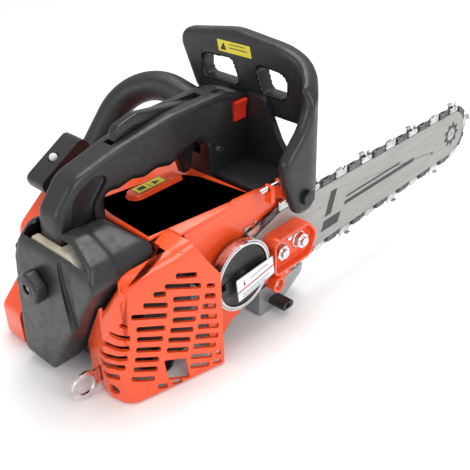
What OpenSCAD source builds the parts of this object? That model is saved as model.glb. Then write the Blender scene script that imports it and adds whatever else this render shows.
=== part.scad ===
// Top-handle petrol chainsaw: engine, casings, handles, guide bar and chain.
// Right-handed frame in millimetres: +X to the bar side, +Y towards the bar tip, +Z up.
// The origin lies on the underside, below the crank axis.

/* [Body] */
// Height of the crank axis above the ground
crank_z = 70; // [68:1:84]
// Outer face of the clutch cover, right of the origin
cover_x = 82; // [80:1:98]
// Outer face of the starter housing, left of the origin
housing_x = 88; // [84:1:106]
// Front end of the casings ahead of the crank axis
body_front = 100; // [96:1:120]
// Rear end of the casings behind the crank axis
body_rear = 114; // [112:1:134]
// Height of the top cover above the ground
body_top = 127; // [125:1:150]
// Wall thickness of the plastic casings
wall = 2.6; // [2:0.1:3]

/* [Engine] */
// Piston radius
piston_r = 17; // [14:0.5:18]
// Radial gap between the piston and the cylinder wall
piston_gap = 0.05; // [0.03:0.01:0.1]
// Piston stroke
stroke = 28; // [24:1:30]
// Connecting rod length between centres
rod_len = 46; // [44:1:50]
// Half width of the cooling fins
fin_half = 30; // [26:1:31]
// Tilt of the cylinder above the horizontal
cyl_tilt = 15; // [10:1:18]
// Radius of the crank chamber
chamber_r = 27; // [26:0.5:28]
// Crankshaft radius in the main bearings
shaft_r = 7.5; // [6:0.5:7.5]
// Radial running clearance of every turning fit
run_gap = 0.05; // [0.02:0.01:0.1]
// Flywheel radius
flywheel_r = 44; // [38:1:46]
// Inner radius of the clutch drum
drum_r = 27; // [24:1:29]

/* [Bar and chain] */
// Middle plane of the bar, right of the origin
bar_x = 64; // [63:0.5:65]
// Distance from the crank axis to the nose centre
bar_reach = 335; // [290:5:440]
// Half height of the bar at the studs
bar_half = 29; // [25:0.5:30]
// Nose radius of the bar
nose_r = 24.5; // [20:0.5:27]
// Thickness of the bar
bar_t = 4; // [3.6:0.1:4.4]
// Nominal distance between chain rivets
chain_pitch = 9.525; // [8.25:0.025:10.3]
// Gauge of the drive links
gauge = 1.3; // [1.1:0.1:1.5]
// Distance between the two bar studs
stud_gap = 25; // [22:1:28]
// Bar stud radius
stud_r = 4; // [3:0.5:4]

/* [Handles] */
// Width of the top handle
handle_w = 30; // [26:1:36]
// Height of the top handle above the ground
handle_top = 193; // [190:1:225]
// Height of the grip underside above the ground
grip_under = 152; // [150:1:165]
// Rear face of the hand guard ahead of the crank axis
guard_y = 79; // [78:1:84]
// Height of the hand guard above the ground
guard_top = 232; // [222:1:260]
// Thickness of the hand guard
guard_t = 15; // [12:1:17]
// Radius of the side handle tube
tube_r = 13; // [10:0.5:14]

/* [Hidden] */
$fn = 48;

// Colours of the finishes
orange = "#ee4f27";
black = "#202022";
alloy = "#a9adb0";
steel = "#c9ccce";
dark_steel = "#4a4c4e";
eps = 0.01;
seat_gap = 0.3;

// ---- outlines -------------------------------------------------------------
function unit(v) = v / norm(v);
function left_of(a, b) = let (d = unit([b[0] - a[0], b[1] - a[1]])) [-d[1], d[0]];

// One rounded corner at b, between a and c; b[2] is its radius
function corner(a, b, c) =
    let (p = [b[0], b[1]], u = unit([a[0], a[1]] - p), v = unit([c[0], c[1]] - p),
        half = acos(max(-1, min(1, u * v))) / 2,
        room = 0.48 * min(norm([a[0], a[1]] - p), norm([c[0], c[1]] - p)),
        r = min(b[2], room * tan(half)))
    r < 0.05 || half > 89.5 ? [p] :
    let (m = p + unit(u + v) * r / sin(half), s = p + u * r / tan(half) - m,
        e = p + v * r / tan(half) - m, a0 = atan2(s[1], s[0]),
        turn = ((atan2(e[1], e[0]) - a0 + 540) % 360) - 180,
        n = max(2, ceil(abs(turn) / 15)))
    [for (i = [0:n]) m + r * [cos(a0 + turn * i / n), sin(a0 + turn * i / n)]];

// An outline of [x, y, radius] corners, counter-clockwise, as plain points
function rounded(p) = [for (i = [0:len(p) - 1])
    each corner(p[(i + len(p) - 1) % len(p)], p[i], p[(i + 1) % len(p)])];

// The same outline moved inwards by w, radii kept concentric
function inset(p, w) = [for (i = [0:len(p) - 1])
    let (a = p[(i + len(p) - 1) % len(p)], b = p[i], c = p[(i + 1) % len(p)],
        n1 = left_of(a, b), n2 = left_of(b, c), q = [b[0], b[1]] + (n1 + n2) * w / (1 + n1 * n2),
        convex = (b[0] - a[0]) * (c[1] - b[1]) - (b[1] - a[1]) * (c[0] - b[0]) > 0)
    [q[0], q[1], max(0.2, b[2] + (convex ? -w : w))]];

function arc(c, r, a0, a1, n) = [for (i = [0:n]) c + r * [cos(a0 + (a1 - a0) * i / n),
    sin(a0 + (a1 - a0) * i / n)]];

module outline(p) { polygon(rounded(p)); }
// An outline in (Y, Z), extruded along X
module along_x(x0, x1) { translate([x0, 0, 0]) rotate([90, 0, 90]) linear_extrude(x1 - x0) children(); }
// An outline in (X, Z), extruded along Y
module along_y(y0, y1) { translate([0, y1, 0]) rotate([90, 0, 0]) linear_extrude(y1 - y0) children(); }
module along_z(z0, z1) { translate([0, 0, z0]) linear_extrude(z1 - z0) children(); }
module box(a, b) { translate(a) cube(b - a); }
module rod_x(r, x0, x1, y = 0, z = 0) { translate([x0, y, z]) rotate([0, 90, 0]) cylinder(r = r, h = x1 - x0); }
module rod_y(r, y0, y1, x = 0, z = 0) { translate([x, y0, z]) rotate([-90, 0, 0]) cylinder(r = r, h = y1 - y0); }
module ring_x(r_out, r_in, x0, x1, y = 0, z = 0) {
    difference() {
        rod_x(r_out, x0, x1, y, z);
        rod_x(r_in, x0 - eps, x1 + eps, y, z);
    }
}
// A round bar between two points
module strut(a, b, r) {
    d = b - a;
    translate(a) rotate([0, acos(d[2] / norm(d)), atan2(d[1], d[0])]) cylinder(r = r, h = norm(d), $fn = 24);
}

// ---- engine places --------------------------------------------------------
mid_x = -4;
rod_t = 6;
web_gap = 0.3;
web_t = 8.5;
web_x = rod_t / 2 + web_gap + web_t;
bearing_w = 11;
bearing_r = 17.5;
bearing_x = web_x + 1;
seal_x = bearing_x + bearing_w;
seal_w = 6;
case_half = seal_x + seal_w;
case_right = mid_x + case_half;
case_left = mid_x - case_half;
pad_x = bar_x - bar_t / 2;
stub_r = 5;
skirt_r = piston_r + 3.2;
base_s = chamber_r + 5;
fin_s0 = base_s + 6;
crown_s = stroke / 2 + rod_len + 11;
head_s = crown_s + 7;
drum_wall = 2;
drum_x = bar_x + 4.2;
clutch_x = drum_x + 2.8;
clutch_w = cover_x - wall - 1.2 - clutch_x;
fly_x = mid_x - case_half - 24;
scroll_x = 59.8;
fly_t = 12;
pulley_r = 22;
pulley_x = -housing_x + wall + 9.5;
pulley_w = 7;
rivet_h = 3.2;
tang = 7.6;
stud_y = 45;
pocket_d = 8;
pocket_x = cover_x - pocket_d;

// Places its children in the cylinder's own frame: +Z from the crank to the head
module cyl_frame() { translate([mid_x, 0, crank_z]) rotate([90 - cyl_tilt, 0, 0]) children(); }
// The (Y, Z) place of a point s along the cylinder and n across it
function cyl_at(s, n) = [-s * cos(cyl_tilt) + n * sin(cyl_tilt), crank_z + s * sin(cyl_tilt) + n * cos(cyl_tilt)];

// ---- crankcase ------------------------------------------------------------
sole_rear = 34;
function case_outline() =
    let (top = cyl_at(base_s, skirt_r + 5), low = cyl_at(base_s, -skirt_r - 5))
    [[-sole_rear, 0, 4], [34, 0, 4], [40, 10, 6], [44, crank_z + 26, 16], [16, crank_z + 38, 14],
     [top[0], top[1], 0], [low[0], low[1], 0], [-sole_rear, 34, 8]];

module case_cuts() {
    cyl_frame() cylinder(r = skirt_r + 0.1, h = base_s + 5);
    translate([0, 0, crank_z]) {
        rod_x(chamber_r, mid_x - bearing_x, mid_x + bearing_x);
        rod_x(bearing_r, mid_x - seal_x, mid_x + seal_x);
        rod_x(shaft_r + 5.5, case_left - eps, case_right + eps);
    }
}

module crankcase_left() {
    color(alloy) difference() {
        union() {
            along_x(case_left, mid_x) outline(case_outline());
            // lower half of the fan scroll
            translate([0, 0, crank_z]) difference() {
                ring_x(flywheel_r + 8, flywheel_r + 5, -scroll_x, case_left - 0.5);
                box([-scroll_x - 1, -flywheel_r - 9, 2], [case_left + 1, flywheel_r + 9, flywheel_r + 9]);
            }
            box([-scroll_x + 4, -10, 12], [case_left + 1, 10, crank_z - flywheel_r - 6]);
            // lug of the ignition coil
            box([case_left, 30, crank_z + 14], [case_left + 10, 60, crank_z + 37]);
        }
        case_cuts();
        along_x(case_left - 30, mid_x) outline(inset(oil_tank_outline(), -0.2));
        along_x(case_left - 30, mid_x) outline(inset(fuel_tank_outline(), -0.2));
        for (c = [[oil_y, oil_z], [fuel_y, fuel_z]]) rod_x(cap_r - 2.6, -scroll_x - 1, case_left, c[0], c[1]);
    }
}

chain_room = 17;
module crankcase_right() {
    color(alloy) difference() {
        union() {
            along_x(mid_x, case_right) outline(case_outline());
            along_x(mid_x, pad_x) outline([[34, 0, 4], [60, 0, 4], [body_front - 8, 20, 8],
                [body_front - 4, crank_z + bar_half - 3, 8], [52, body_top - 12, 8],
                [36, crank_z + 30, 4]]);
        }
        case_cuts();
        // clear of the clutch drum and the drive sprocket
        translate([0, 0, crank_z]) rod_x(drum_r + drum_wall + 3, case_right, pad_x + eps);
        // oil tank bay, open to the front and the left
        along_x(mid_x - eps, pad_x - 9) outline(inset(oil_tank_outline(), -0.2));
        // room for the chain above and below the bar
        for (z = [crank_z - bar_half - chain_room + 4, crank_z + bar_half - 4])
            box([pad_x - 3, 30, z], [pad_x + 1, body_front + 9, z + chain_room]);
        for (i = [0, 1]) rod_x(stud_r, pad_x - 12, pad_x + eps, stud_y + i * stud_gap, crank_z);
        rod_x(tension_r + 0.1, pad_x - 8, pad_x + eps, tension_y, tension_z);
    }
}

module crank_bearings() {
    translate([0, 0, crank_z]) for (side = [-1, 1]) {
        x0 = mid_x + side * (bearing_x + bearing_w / 2);
        color(steel) ring_x(bearing_r, shaft_r + run_gap, x0 - bearing_w / 2, x0 + bearing_w / 2);
        x1 = mid_x + side * (seal_x + seal_w / 2);
        color(black) ring_x(shaft_r + 5.5, shaft_r + run_gap, x1 - seal_w / 2, x1 + seal_w / 2);
    }
}

// Two webs with counterweights, and the shaft ends; the crank pin stays with the rod
module crankshaft() {
    web_r = stroke / 2 + crank_pin_r + 1.5;
    color(steel) translate([0, 0, crank_z]) {
        for (side = [-1, 1]) {
            x0 = mid_x + side * (rod_t / 2 + web_gap);
            x1 = mid_x + side * web_x;
            rod_x(web_r, min(x0, x1), max(x0, x1));
        }
        rod_x(shaft_r, mid_x + web_x - 1, case_right);
        rod_x(stub_r, case_right - 1, clutch_x + clutch_w + 0.6);
        rod_x(shaft_r, case_left, mid_x - web_x + 1);
        rod_x(stub_r, fly_x - 6, case_left + 1);
        rod_x(8, fly_x - 5, fly_x - seat_gap + 0.3, $fn = 6);
    }
}

module flywheel() {
    fins = 16;
    color(alloy) translate([0, 0, crank_z]) {
        difference() {
            union() {
                rod_x(flywheel_r, fly_x + fly_t - 5, fly_x + fly_t);
                rod_x(12, fly_x, fly_x + fly_t);
            }
            rod_x(stub_r, fly_x - 1, fly_x + fly_t + 1);
        }
        for (i = [0:fins - 1]) rotate([i * 360 / fins, 0, 0])
            box([fly_x + 1, -1, flywheel_r * 0.58], [fly_x + fly_t - 4.5, 1, flywheel_r - 1]);
    }
}

coil_gap = 0.6;
module ignition_coil() {
    color(dark_steel) translate([0, 0, crank_z]) rotate([-62, 0, 0]) {
        for (y = [-13, 13]) box([fly_x + 3, y - 4, flywheel_r + coil_gap + 1.4], [fly_x + fly_t, y + 4, flywheel_r + 14]);
        box([fly_x + 1, -17, flywheel_r + 12], [fly_x + fly_t + 1, 17, flywheel_r + 21]);
        // bracket to the crankcase
        box([fly_x + fly_t, -6, flywheel_r + 12], [case_left, 6, flywheel_r + 18]);
    }
}

module cylinder_fins() {
    for (s = [fin_s0:5.4:head_s - 2]) along_z(s, s + 1.7)
        outline([[-fin_half, -fin_half, 8], [fin_half, -fin_half, 8], [fin_half, fin_half, 8], [-fin_half, fin_half, 8]]);
}
port_s = base_s + 18;
module engine_cylinder() {
    color(alloy) cyl_frame() difference() {
        union() {
            along_z(base_s, base_s + 4) outline([[-25, -24, 4], [25, -24, 4], [25, 24, 4], [-25, 24, 4]]);
            translate([0, 0, chamber_r - 2]) cylinder(r = skirt_r, h = head_s - chamber_r + 2);
            cylinder_fins();
            translate([0, 0, port_s]) rotate([0, 90, 0]) translate([0, 0, -fin_half]) cylinder(r = 12, h = 2 * fin_half);
        }
        translate([0, 0, chamber_r - 3]) cylinder(r = piston_r, h = crown_s + 1 - chamber_r + 3);
        translate([0, 0, port_s]) rotate([0, 90, 0]) translate([0, 0, -fin_half - 1]) cylinder(r = 7, h = 2 * fin_half + 2);
        translate([0, 0, crown_s - 1]) rotate([-plug_lean, 0, 0]) cylinder(r = plug_r, h = 30);
    }
}

module piston() {
    pin_s = stroke / 2 + rod_len;
    // the skirt stays clear of the webs at the bottom of the stroke
    skirt = rod_len - stroke - crank_pin_r - 2.5;
    color(alloy) cyl_frame() difference() {
        translate([0, 0, pin_s - skirt]) cylinder(r = piston_r - piston_gap, h = crown_s - pin_s + skirt);
        translate([0, 0, pin_s - skirt - 1]) cylinder(r = piston_r - 3, h = crown_s - pin_s + skirt - 3);
        translate([0, 0, pin_s]) rotate([0, 90, 0]) translate([0, 0, -20]) cylinder(r = pin_r, h = 40);
        for (s = [3, 6.5]) translate([0, 0, crown_s - s - 1.2]) difference() {
            cylinder(r = piston_r + 1, h = 1.2);
            cylinder(r = piston_r - 1, h = 1.2);
        }
    }
}
pin_r = 4.5;
crank_pin_r = 6;
// Rod with its wrist pin and the crank pin, which lies between the webs
module connecting_rod() {
    pin_s = stroke / 2 + rod_len;
    color(steel) cyl_frame() {
        translate([0, 0, pin_s]) rotate([0, 90, 0]) translate([0, 0, -piston_r + 2]) cylinder(r = pin_r, h = 2 * piston_r - 4);
        translate([0, 0, stroke / 2]) rotate([0, 90, 0]) translate([0, 0, -rod_t / 2]) cylinder(r = crank_pin_r + 3.5, h = rod_t);
        translate([0, 0, pin_s]) rotate([0, 90, 0]) translate([0, 0, -rod_t / 2]) cylinder(r = pin_r + 2.5, h = rod_t);
        box([-2, -4, stroke / 2], [2, 4, pin_s]);
    }
}

plug_r = 7;
plug_lean = 8;
plug_len = 20;
insulator_r = 4.5;
module plug_frame() {
    cyl_frame() translate([0, 0, crown_s - 1]) rotate([-plug_lean, 0, 0]) children();
}
module spark_plug() {
    color(steel) plug_frame() {
        translate([0, 0, 5]) cylinder(r = plug_r, h = 8.5);
        translate([0, 0, 13]) cylinder(r = 9, h = 6, $fn = 6);
        translate([0, 0, 5]) cylinder(r = insulator_r, h = plug_len + 3);
    }
}
module plug_boot() {
    color(black) plug_frame() difference() {
        union() {
            translate([0, 0, plug_len + 0.4]) cylinder(r = 7.5, h = 11);
            translate([0, 0, plug_len + 6]) rotate([0, -90, 0]) cylinder(r = 4, h = 24);
        }
        translate([0, 0, plug_len]) cylinder(r = insulator_r, h = 8.01);
    }
}

// ---- exhaust --------------------------------------------------------------
mount_x = mid_x + fin_half;
exhaust_y = -76;
exhaust_z = 21;
module muffler() {
    x0 = mount_x + 3;
    x1 = 56;
    port = cyl_at(port_s, 0);
    color(dark_steel) {
        difference() {
            union() {
                along_x(x0, x1) outline([[-94, 14, 8], [-40, 14, 8], [-38, crank_z + 22, 10], [-84, crank_z + 22, 12]]);
                rod_x(9, x1 - 1, x1 + 8, exhaust_y, exhaust_z);
                rod_x(11, mount_x, x0 + 1, port[0], port[1]);
            }
            rod_x(7, x1 - 4, x1 + 9, exhaust_y, exhaust_z);
            rod_x(7, mount_x - 1, x0 + 4, port[0], port[1]);
        }
    }
}

// Plan of the rear right corner, with the side drawn in towards the rear
seam_y = -30;
rear_x = 65;
roof_x = 50;
roof_y = -70;
function muffler_plan() = [[-4, -body_rear + 8, 4], [44, -body_rear - 3, 6],
    [rear_x - 2, -body_rear + 1, 16], [cover_x, seam_y - seat_gap, 0], [roof_x + seat_gap, seam_y - seat_gap, 0],
    [roof_x + seat_gap, roof_y - seat_gap, 0], [20, roof_y - seat_gap, 0], [20, -body_rear + 22, 0]];
// The seam with the clutch cover, (Y, Z) from the roof down, moved d to the rear
function seam(d) = [[-52 - d, body_top, 2], [-42 - d, crank_z + 38, 20], [seam_y - d, crank_z + 20, 8]];
slot_pitch = 9.2;
slot_h = 5.4;
module muffler_cover() {
    color(orange) difference() {
        along_z(0, body_top) outline(muffler_plan());
        translate([0, 0, -1]) linear_extrude(body_top - wall + 1)
            outline([[-30, -body_rear + 8 + wall, 0], [44, -body_rear + wall - 3, 4],
                [rear_x - 4, -body_rear + 4, 14], [cover_x - wall, seam_y + eps, 0],
                [cover_x - wall, seam_y + 9, 0], [-30, seam_y + 9, 0]]);
        // seat of the filter cover, along a slanting edge
        along_y(-body_rear - 10, -66) outline(filter_cut());
        // roof falls towards the rear
        along_x(-10, cover_x + 9) outline([[-body_rear - 20, body_top - 18, 0], [-66, body_top - 5, 12], [-46, body_top + 3, 0],
            [-body_rear - 20, body_top + 3, 0]]);
        // top corner taken by the clutch cover
        along_x(16, cover_x + 9) outline(concat([[-52 - seat_gap, body_top + 9, 0]], seam(seat_gap),
            [[seam_y + 9, crank_z + 18, 0], [seam_y + 9, body_top + 9, 0]]));
        // slot of the lanyard ring
        box([ring_xc - plate_t, -body_rear - 9, eye_z - 5], [ring_xc + plate_t, -body_rear + 9, eye_z + 10]);
        for (i = [0:9]) {
            z = 15 + i * slot_pitch;
            // rear face
            if (i < 6) box([16 + i * 7, -body_rear - 9, z], [50, -body_rear + 9, z + slot_h]);
            // rounded corner
            if (i < 8) translate([rear_x - 6, -body_rear + 12, z]) rotate([0, 0, -38]) box([-7, -22, 0], [9, 0, slot_h]);
            // side
            for (y = [-92, -66]) if (i > 2 || y < -80) if (i < 9 || y > -80)
                box([rear_x - 6, y, z], [cover_x + 9, y + 20, z + slot_h]);
        }
        box([rear_x - 8, exhaust_y - 11, exhaust_z - 11], [cover_x, exhaust_y + 11, exhaust_z + 11]);
    }
}
// (X, Z) of what the filter cover takes away from the muffler cover
function filter_cut() = [[-40, -1, 0], [-6, -1, 0], [8, 30, 10], [62, body_top - 12, 6], [50, body_top + 6, 0], [-40, body_top + 6, 0]];

// ---- intake ---------------------------------------------------------------
carb_x = -46;
carb_z = crank_z + 17;
carb_y0 = -body_rear + 14;
carb_y1 = carb_y0 + 32;
intake_r = 7;
carb_half = 15;
carb_w = 11;
module intake_manifold() {
    port = cyl_at(port_s, 0);
    x1 = mid_x - fin_half;
    color(black) difference() {
        union() {
            box([carb_x - 10, carb_y1, carb_z - 13], [x1, -flywheel_r - 2, carb_z + 13]);
            box([fly_x + fly_t + 1, carb_y1, carb_z - 13], [x1, port[0] + 12, carb_z + 13]);
        }
        rod_y(intake_r, carb_y1 - 1, port[0] + 2, carb_x, carb_z);
        rod_x(intake_r, fly_x + fly_t + 3, x1 + 1, port[0], port[1]);
        box([carb_x - 1, port[0] - 5, carb_z - intake_r], [fly_x + fly_t + 5, port[0] + 1, carb_z + 3]);
    }
}
shaft_y = carb_y0 + 16;
butterfly_r = intake_r - 0.3;
throttle_shaft_r = 2;
module carburettor() {
    color(alloy) difference() {
        union() {
            box([carb_x - carb_w, carb_y0, carb_z - carb_half], [carb_x + carb_w, carb_y1, carb_z + carb_half]);
            translate([carb_x, shaft_y, carb_z - carb_half - 7]) cylinder(r = 10, h = 8);
        }
        rod_y(intake_r, carb_y0 - 1, carb_y1 + 1, carb_x, carb_z);
        rod_x(throttle_shaft_r + run_gap, carb_x - carb_w - 1, carb_x + carb_w + 1, shaft_y, carb_z);
    }
}
module throttle_butterfly() {
    color(steel) {
        rod_x(throttle_shaft_r, carb_x - carb_w - 1, carb_x + carb_w + 5, shaft_y, carb_z);
        translate([carb_x, shaft_y, carb_z]) rotate([70, 0, 0]) translate([0, 0, -0.6]) cylinder(r = butterfly_r, h = 1.2);
        box([carb_x + carb_w + 2, shaft_y - 3, carb_z - 2], [carb_x + carb_w + 4.5, shaft_y + 3, carb_z + 15]);
    }
}
choke_y = carb_y0 + 5;
choke_z = 56;
choke_r = 3;
module choke_lever() {
    color(black) {
        rod_x(choke_r, -housing_x - 2, -housing_x + 24, choke_y, choke_z);
        along_x(-housing_x - 6, -housing_x - 1.5) outline([[choke_y - 5, choke_z - 5, 4], [choke_y + 5, choke_z - 5, 4],
            [choke_y + 4, choke_z + 20, 3], [choke_y - 4, choke_z + 20, 3]]);
    }
}
primer_y = -90;
primer_z = 34;
primer_r = 9;
module primer_bulb() {
    color("#b8b4a0") {
        rod_x(primer_r, -housing_x - 5, -housing_x + wall + 1, primer_y, primer_z);
        rod_x(primer_r - 3, -housing_x - 7, -housing_x - 4, primer_y, primer_z);
    }
}

filter_x0 = -46;
filter_top = body_top + 14;
function filter_outline() = [[filter_x0 - 2, 8, 6], [-8, 8, 6], [6, 31, 10], [60, body_top - 12, 8], [54, body_top + 3, 8],
    [30, filter_top, 10], [-22, filter_top, 14], [filter_x0 + 8, body_top - 22, 20]];
base_y = -body_rear + 8;
module filter_base() {
    color(black) difference() {
        union() {
            along_y(base_y, base_y + 6) outline(inset(filter_outline(), wall + seat_gap));
            // shelf under the foot of the top handle
            box([-handle_x, base_y, foot_z - 2.4], [handle_x, post_y1 - 2, foot_z]);
        }
        rod_y(intake_r, base_y - 1, base_y + 7, carb_x, carb_z);
        handle_clear();
    }
    color(black) difference() {
        rod_y(11, base_y + 6, carb_y0, carb_x, carb_z);
        rod_y(intake_r, base_y + 5, carb_y0 + 1, carb_x, carb_z);
    }
    color(steel) rod_y(3, -cover_rear + wall + 0.2, base_y, knob_x, knob_z);
}
cover_rear = body_rear + 18;
knob_x = -8;
knob_z = 93;
knob_r = 15;
module air_filter() {
    color("#d8d2b8") difference() {
        along_y(-cover_rear + wall + 4, base_y) outline(inset(filter_outline(), wall + 9));
        rod_y(3.2, -cover_rear, base_y + 1, knob_x, knob_z);
        translate([0, 0, -4]) handle_clear();
    }
}
module filter_cover() {
    wing_y = roof_y - 0.5;
    color(black) {
        difference() {
            union() {
                along_y(-cover_rear, base_y) outline(filter_outline());
                // wing along the right side, over the muffler cover's edge
                along_y(base_y - 1, wing_y) outline([[24, crank_z + 25, 4], [59, body_top - 13, 6],
                    [54, body_top + 2, 6], [24, body_top + 2, 4]]);
            }
            // rear face leans and the lower part draws in
            along_x(filter_x0 - 9, 70) outline([[-cover_rear - 1, 64, 0], [-cover_rear, 66, 0],
                [-cover_rear + 2.5, body_top - 6, 14], [-cover_rear + 12, filter_top + 1, 0],
                [-cover_rear - 1, filter_top + 1, 0]]);
            along_y(-cover_rear + wall + 2.6, base_y + 8) outline(inset(filter_outline(), wall));
            along_y(base_y - 2, wing_y + 1) outline([[20, 60, 0], [59 - wall - 1, body_top - 13, 4],
                [54 - wall, body_top + 2 - wall, 4], [20, body_top + 2 - wall, 0]]);
            rod_y(3.2, -cover_rear - 1, base_y, knob_x, knob_z);
            handle_clear();
        }
    }
}
module handle_clear() {
    box([-handle_x - seat_gap, post_y0 - seat_gap, foot_z], [handle_x + seat_gap, roof_y + 9, filter_top + 1]);
}
foot_z = body_top - 16;
knob_t = 10;
module filter_knob() {
    lobes = 5;
    color(black) difference() {
        union() {
            rod_y(knob_r - 2, -cover_rear - knob_t, -cover_rear - 0.4, knob_x, knob_z);
            for (i = [0:lobes - 1]) rod_y(4, -cover_rear - knob_t, -cover_rear - 1,
                knob_x + (knob_r - 4) * cos(i * 360 / lobes + 90), knob_z + (knob_r - 4) * sin(i * 360 / lobes + 90));
        }
        rod_y(3 + run_gap, -cover_rear - knob_t + 3, -cover_rear + 1, knob_x, knob_z);
    }
    color(steel) rod_y(2.4, -cover_rear - knob_t + 3, -cover_rear + wall, knob_x, knob_z);
}

// ---- casings --------------------------------------------------------------
cover_x0 = -38;
cover_y1 = 27.4;
skirt_z = body_top - 17;
pocket_a = [5, -27];
pocket_b = [46, 20];
function top_plan() = [[cover_x0, roof_y, 10], [roof_x - 0.1, roof_y, 2], [roof_x - 0.1, -50.6, 0],
    [pad_x - 0.1, -50.6, 0], [pad_x - 0.1, cover_y1, 4], [cover_x0, cover_y1, 10]];
module top_cover() {
    color(orange) difference() {
        union() {
            difference() {
                along_z(skirt_z, body_top) outline(top_plan());
                along_z(skirt_z - 1, body_top - wall) outline(inset(top_plan(), wall));
                // open towards the cylinder head and the clutch side
                box([cover_x0 - 1, roof_y - 1, skirt_z - 1], [pad_x, -48, body_top - wall]);
                box([roof_x - 5, -53, skirt_z - 1], [pad_x, -20, body_top - wall]);
            }
            box([pocket_a[0] - wall, pocket_a[1] - wall, skirt_z + 0.5], [pocket_b[0] + wall, pocket_b[1] + wall, body_top - 1]);
            // ridge under the handle
            box([-12, -40, body_top - 1], [pocket_a[0] - wall, 8, body_top + 4]);
        }
        box([pocket_a[0], pocket_a[1], skirt_z + 0.5 + wall], [pocket_b[0], pocket_b[1], body_top + 1]);
        // fins show through a long slot behind the pocket
        translate([24, -58, 0]) rotate([0, 0, 12]) box([-22, -3, 90], [22, 3, body_top + 1]);
        translate([-20, -58, skirt_z]) cylinder(r = 3, h = 20);
    }
}

// ---- top handle -----------------------------------------------------------
handle_x = handle_w / 2;
post_y0 = -120;
post_y1 = -76;
block_y0 = 28;
block_y1 = body_front - 8;
slot_half = 4.6;
lever_half = 4;
trigger_pin = [26, grip_under + 10];
trigger_pin_r = 2;
lockout_pin = [24, handle_top - 6.5];
lockout_pin_r = 1.5;
switch_y = 64;
switch_z = handle_top - 20;
function handle_outline() = let (u = grip_under, t = handle_top)
    [[post_y0, foot_z, 4], [post_y1, foot_z, 4], [post_y1, u, 14],
     [-62, u - 2, 4], [-50, u + 1, 6], [-38, u - 2, 6], [-26, u + 1, 6], [-12, u - 2, 6],
     [-2, u + 3, 6], [20, u + 9, 10], [block_y0, u, 8], [block_y0, body_top - 9, 0],
     [block_y1, body_top - 9, 4], [block_y1, u - 2, 6], [guard_y - 0.8, u + 11, 4],
     [guard_y - 0.8, t - 11, 6], [50, t, 16], [-8, t - 1, 60], [-56, t - 9, 40],
     [-100, t - 20, 22], [post_y0, u - 2, 20]];
module top_handle() {
    color(black) difference() {
        along_x(-handle_x, handle_x) outline(handle_outline());
        // slots of the trigger and of the lockout
        box([-slot_half, -24, grip_under - 9], [slot_half, 37, lockout_pin[1] - 5]);
        box([-slot_half, -60, handle_top - 21], [slot_half, -24, handle_top + 1]);
        box([-slot_half, -30, lockout_pin[1] - 5.5], [slot_half, 33, handle_top + 1]);
        // recess of the stop switch
        box([handle_x - 7, switch_y - 8, switch_z - 10], [handle_x + 1, switch_y + 8, switch_z + 10]);
        // channels down the sides of the rear post
        for (x = [-handle_x - 1, handle_x - 3]) along_x(x, x + 4)
            outline([[-112, body_top - 8, 4], [-84, body_top - 8, 4], [-84, grip_under + 4, 10], [-104, grip_under + 8, 14]]);
        // seat of the side handle
        side_tube(0.02);
    }
    color(steel) {
        rod_x(trigger_pin_r, -slot_half - 3, slot_half + 3, trigger_pin[0], trigger_pin[1]);
        rod_x(lockout_pin_r, -slot_half - 3, slot_half + 3, lockout_pin[0], lockout_pin[1]);
    }
}

module handle_base() {
    plate_z = body_top - 9 - seat_gap;
    color(black) difference() {
        union() {
            along_z(plate_z - 3, body_top + 1) outline([[-22, block_y0 + 4, 4], [pad_x - 1, block_y0 + 4, 4],
                [pad_x - 1, block_y1, 6], [-22, block_y1, 8]]);
            along_y(switch_y + 8.5, guard_y - 0.6) outline([[handle_x + seat_gap, body_top, 0], [pad_x + 8, body_top, 2],
                [50, grip_under, 12], [34, handle_top - 8, 8], [handle_x + seat_gap, handle_top - 8, 0]]);
        }
        box([-handle_x - seat_gap, block_y0 - 1, plate_z], [handle_x + seat_gap, block_y1 + 1, handle_top]);
        box([pad_x + 0.1, 0, 90], [pad_x + 20, body_front + 9, body_top + 14]);
    }
}

module throttle_trigger() {
    u = grip_under;
    color(black) difference() {
        along_x(-lever_half, lever_half) outline([[9, u - 20, 2], [17, u - 20, 3], [21, u - 2, 12],
            [33, u + 7, 4], [31, u + 15, 4], [-14, u + 11, 3], [-14, u + 5, 2], [3, u + 1, 8]]);
        rod_x(trigger_pin_r + run_gap, -lever_half - 1, lever_half + 1, trigger_pin[0], trigger_pin[1]);
    }
}
module trigger_lockout() {
    t = handle_top;
    color(black) difference() {
        along_x(-lever_half, lever_half) outline([[-57, t - 11, 2], [-24, t - 5, 8], [22, t - 10, 3],
            [29, t - 9, 3], [29, t - 3, 3], [-34, t + 6, 14], [-54, t + 1, 8]]);
        rod_x(lockout_pin_r + run_gap, -lever_half - 1, lever_half + 1, lockout_pin[0], lockout_pin[1]);
    }
}
module stop_switch() {
    x = handle_x;
    color("#e03a22") along_y(switch_y - 7, switch_y + 7) outline([[x - 4, switch_z - 8, 1],
        [x + 1, switch_z - 9, 1], [x + 1, switch_z, 4], [x + 3.5, switch_z + 9, 1], [x - 4, switch_z + 8, 1]]);
    color(black) rod_y(1.5, switch_y - 8, switch_y + 8, x - 2.5, switch_z);
}

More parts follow.
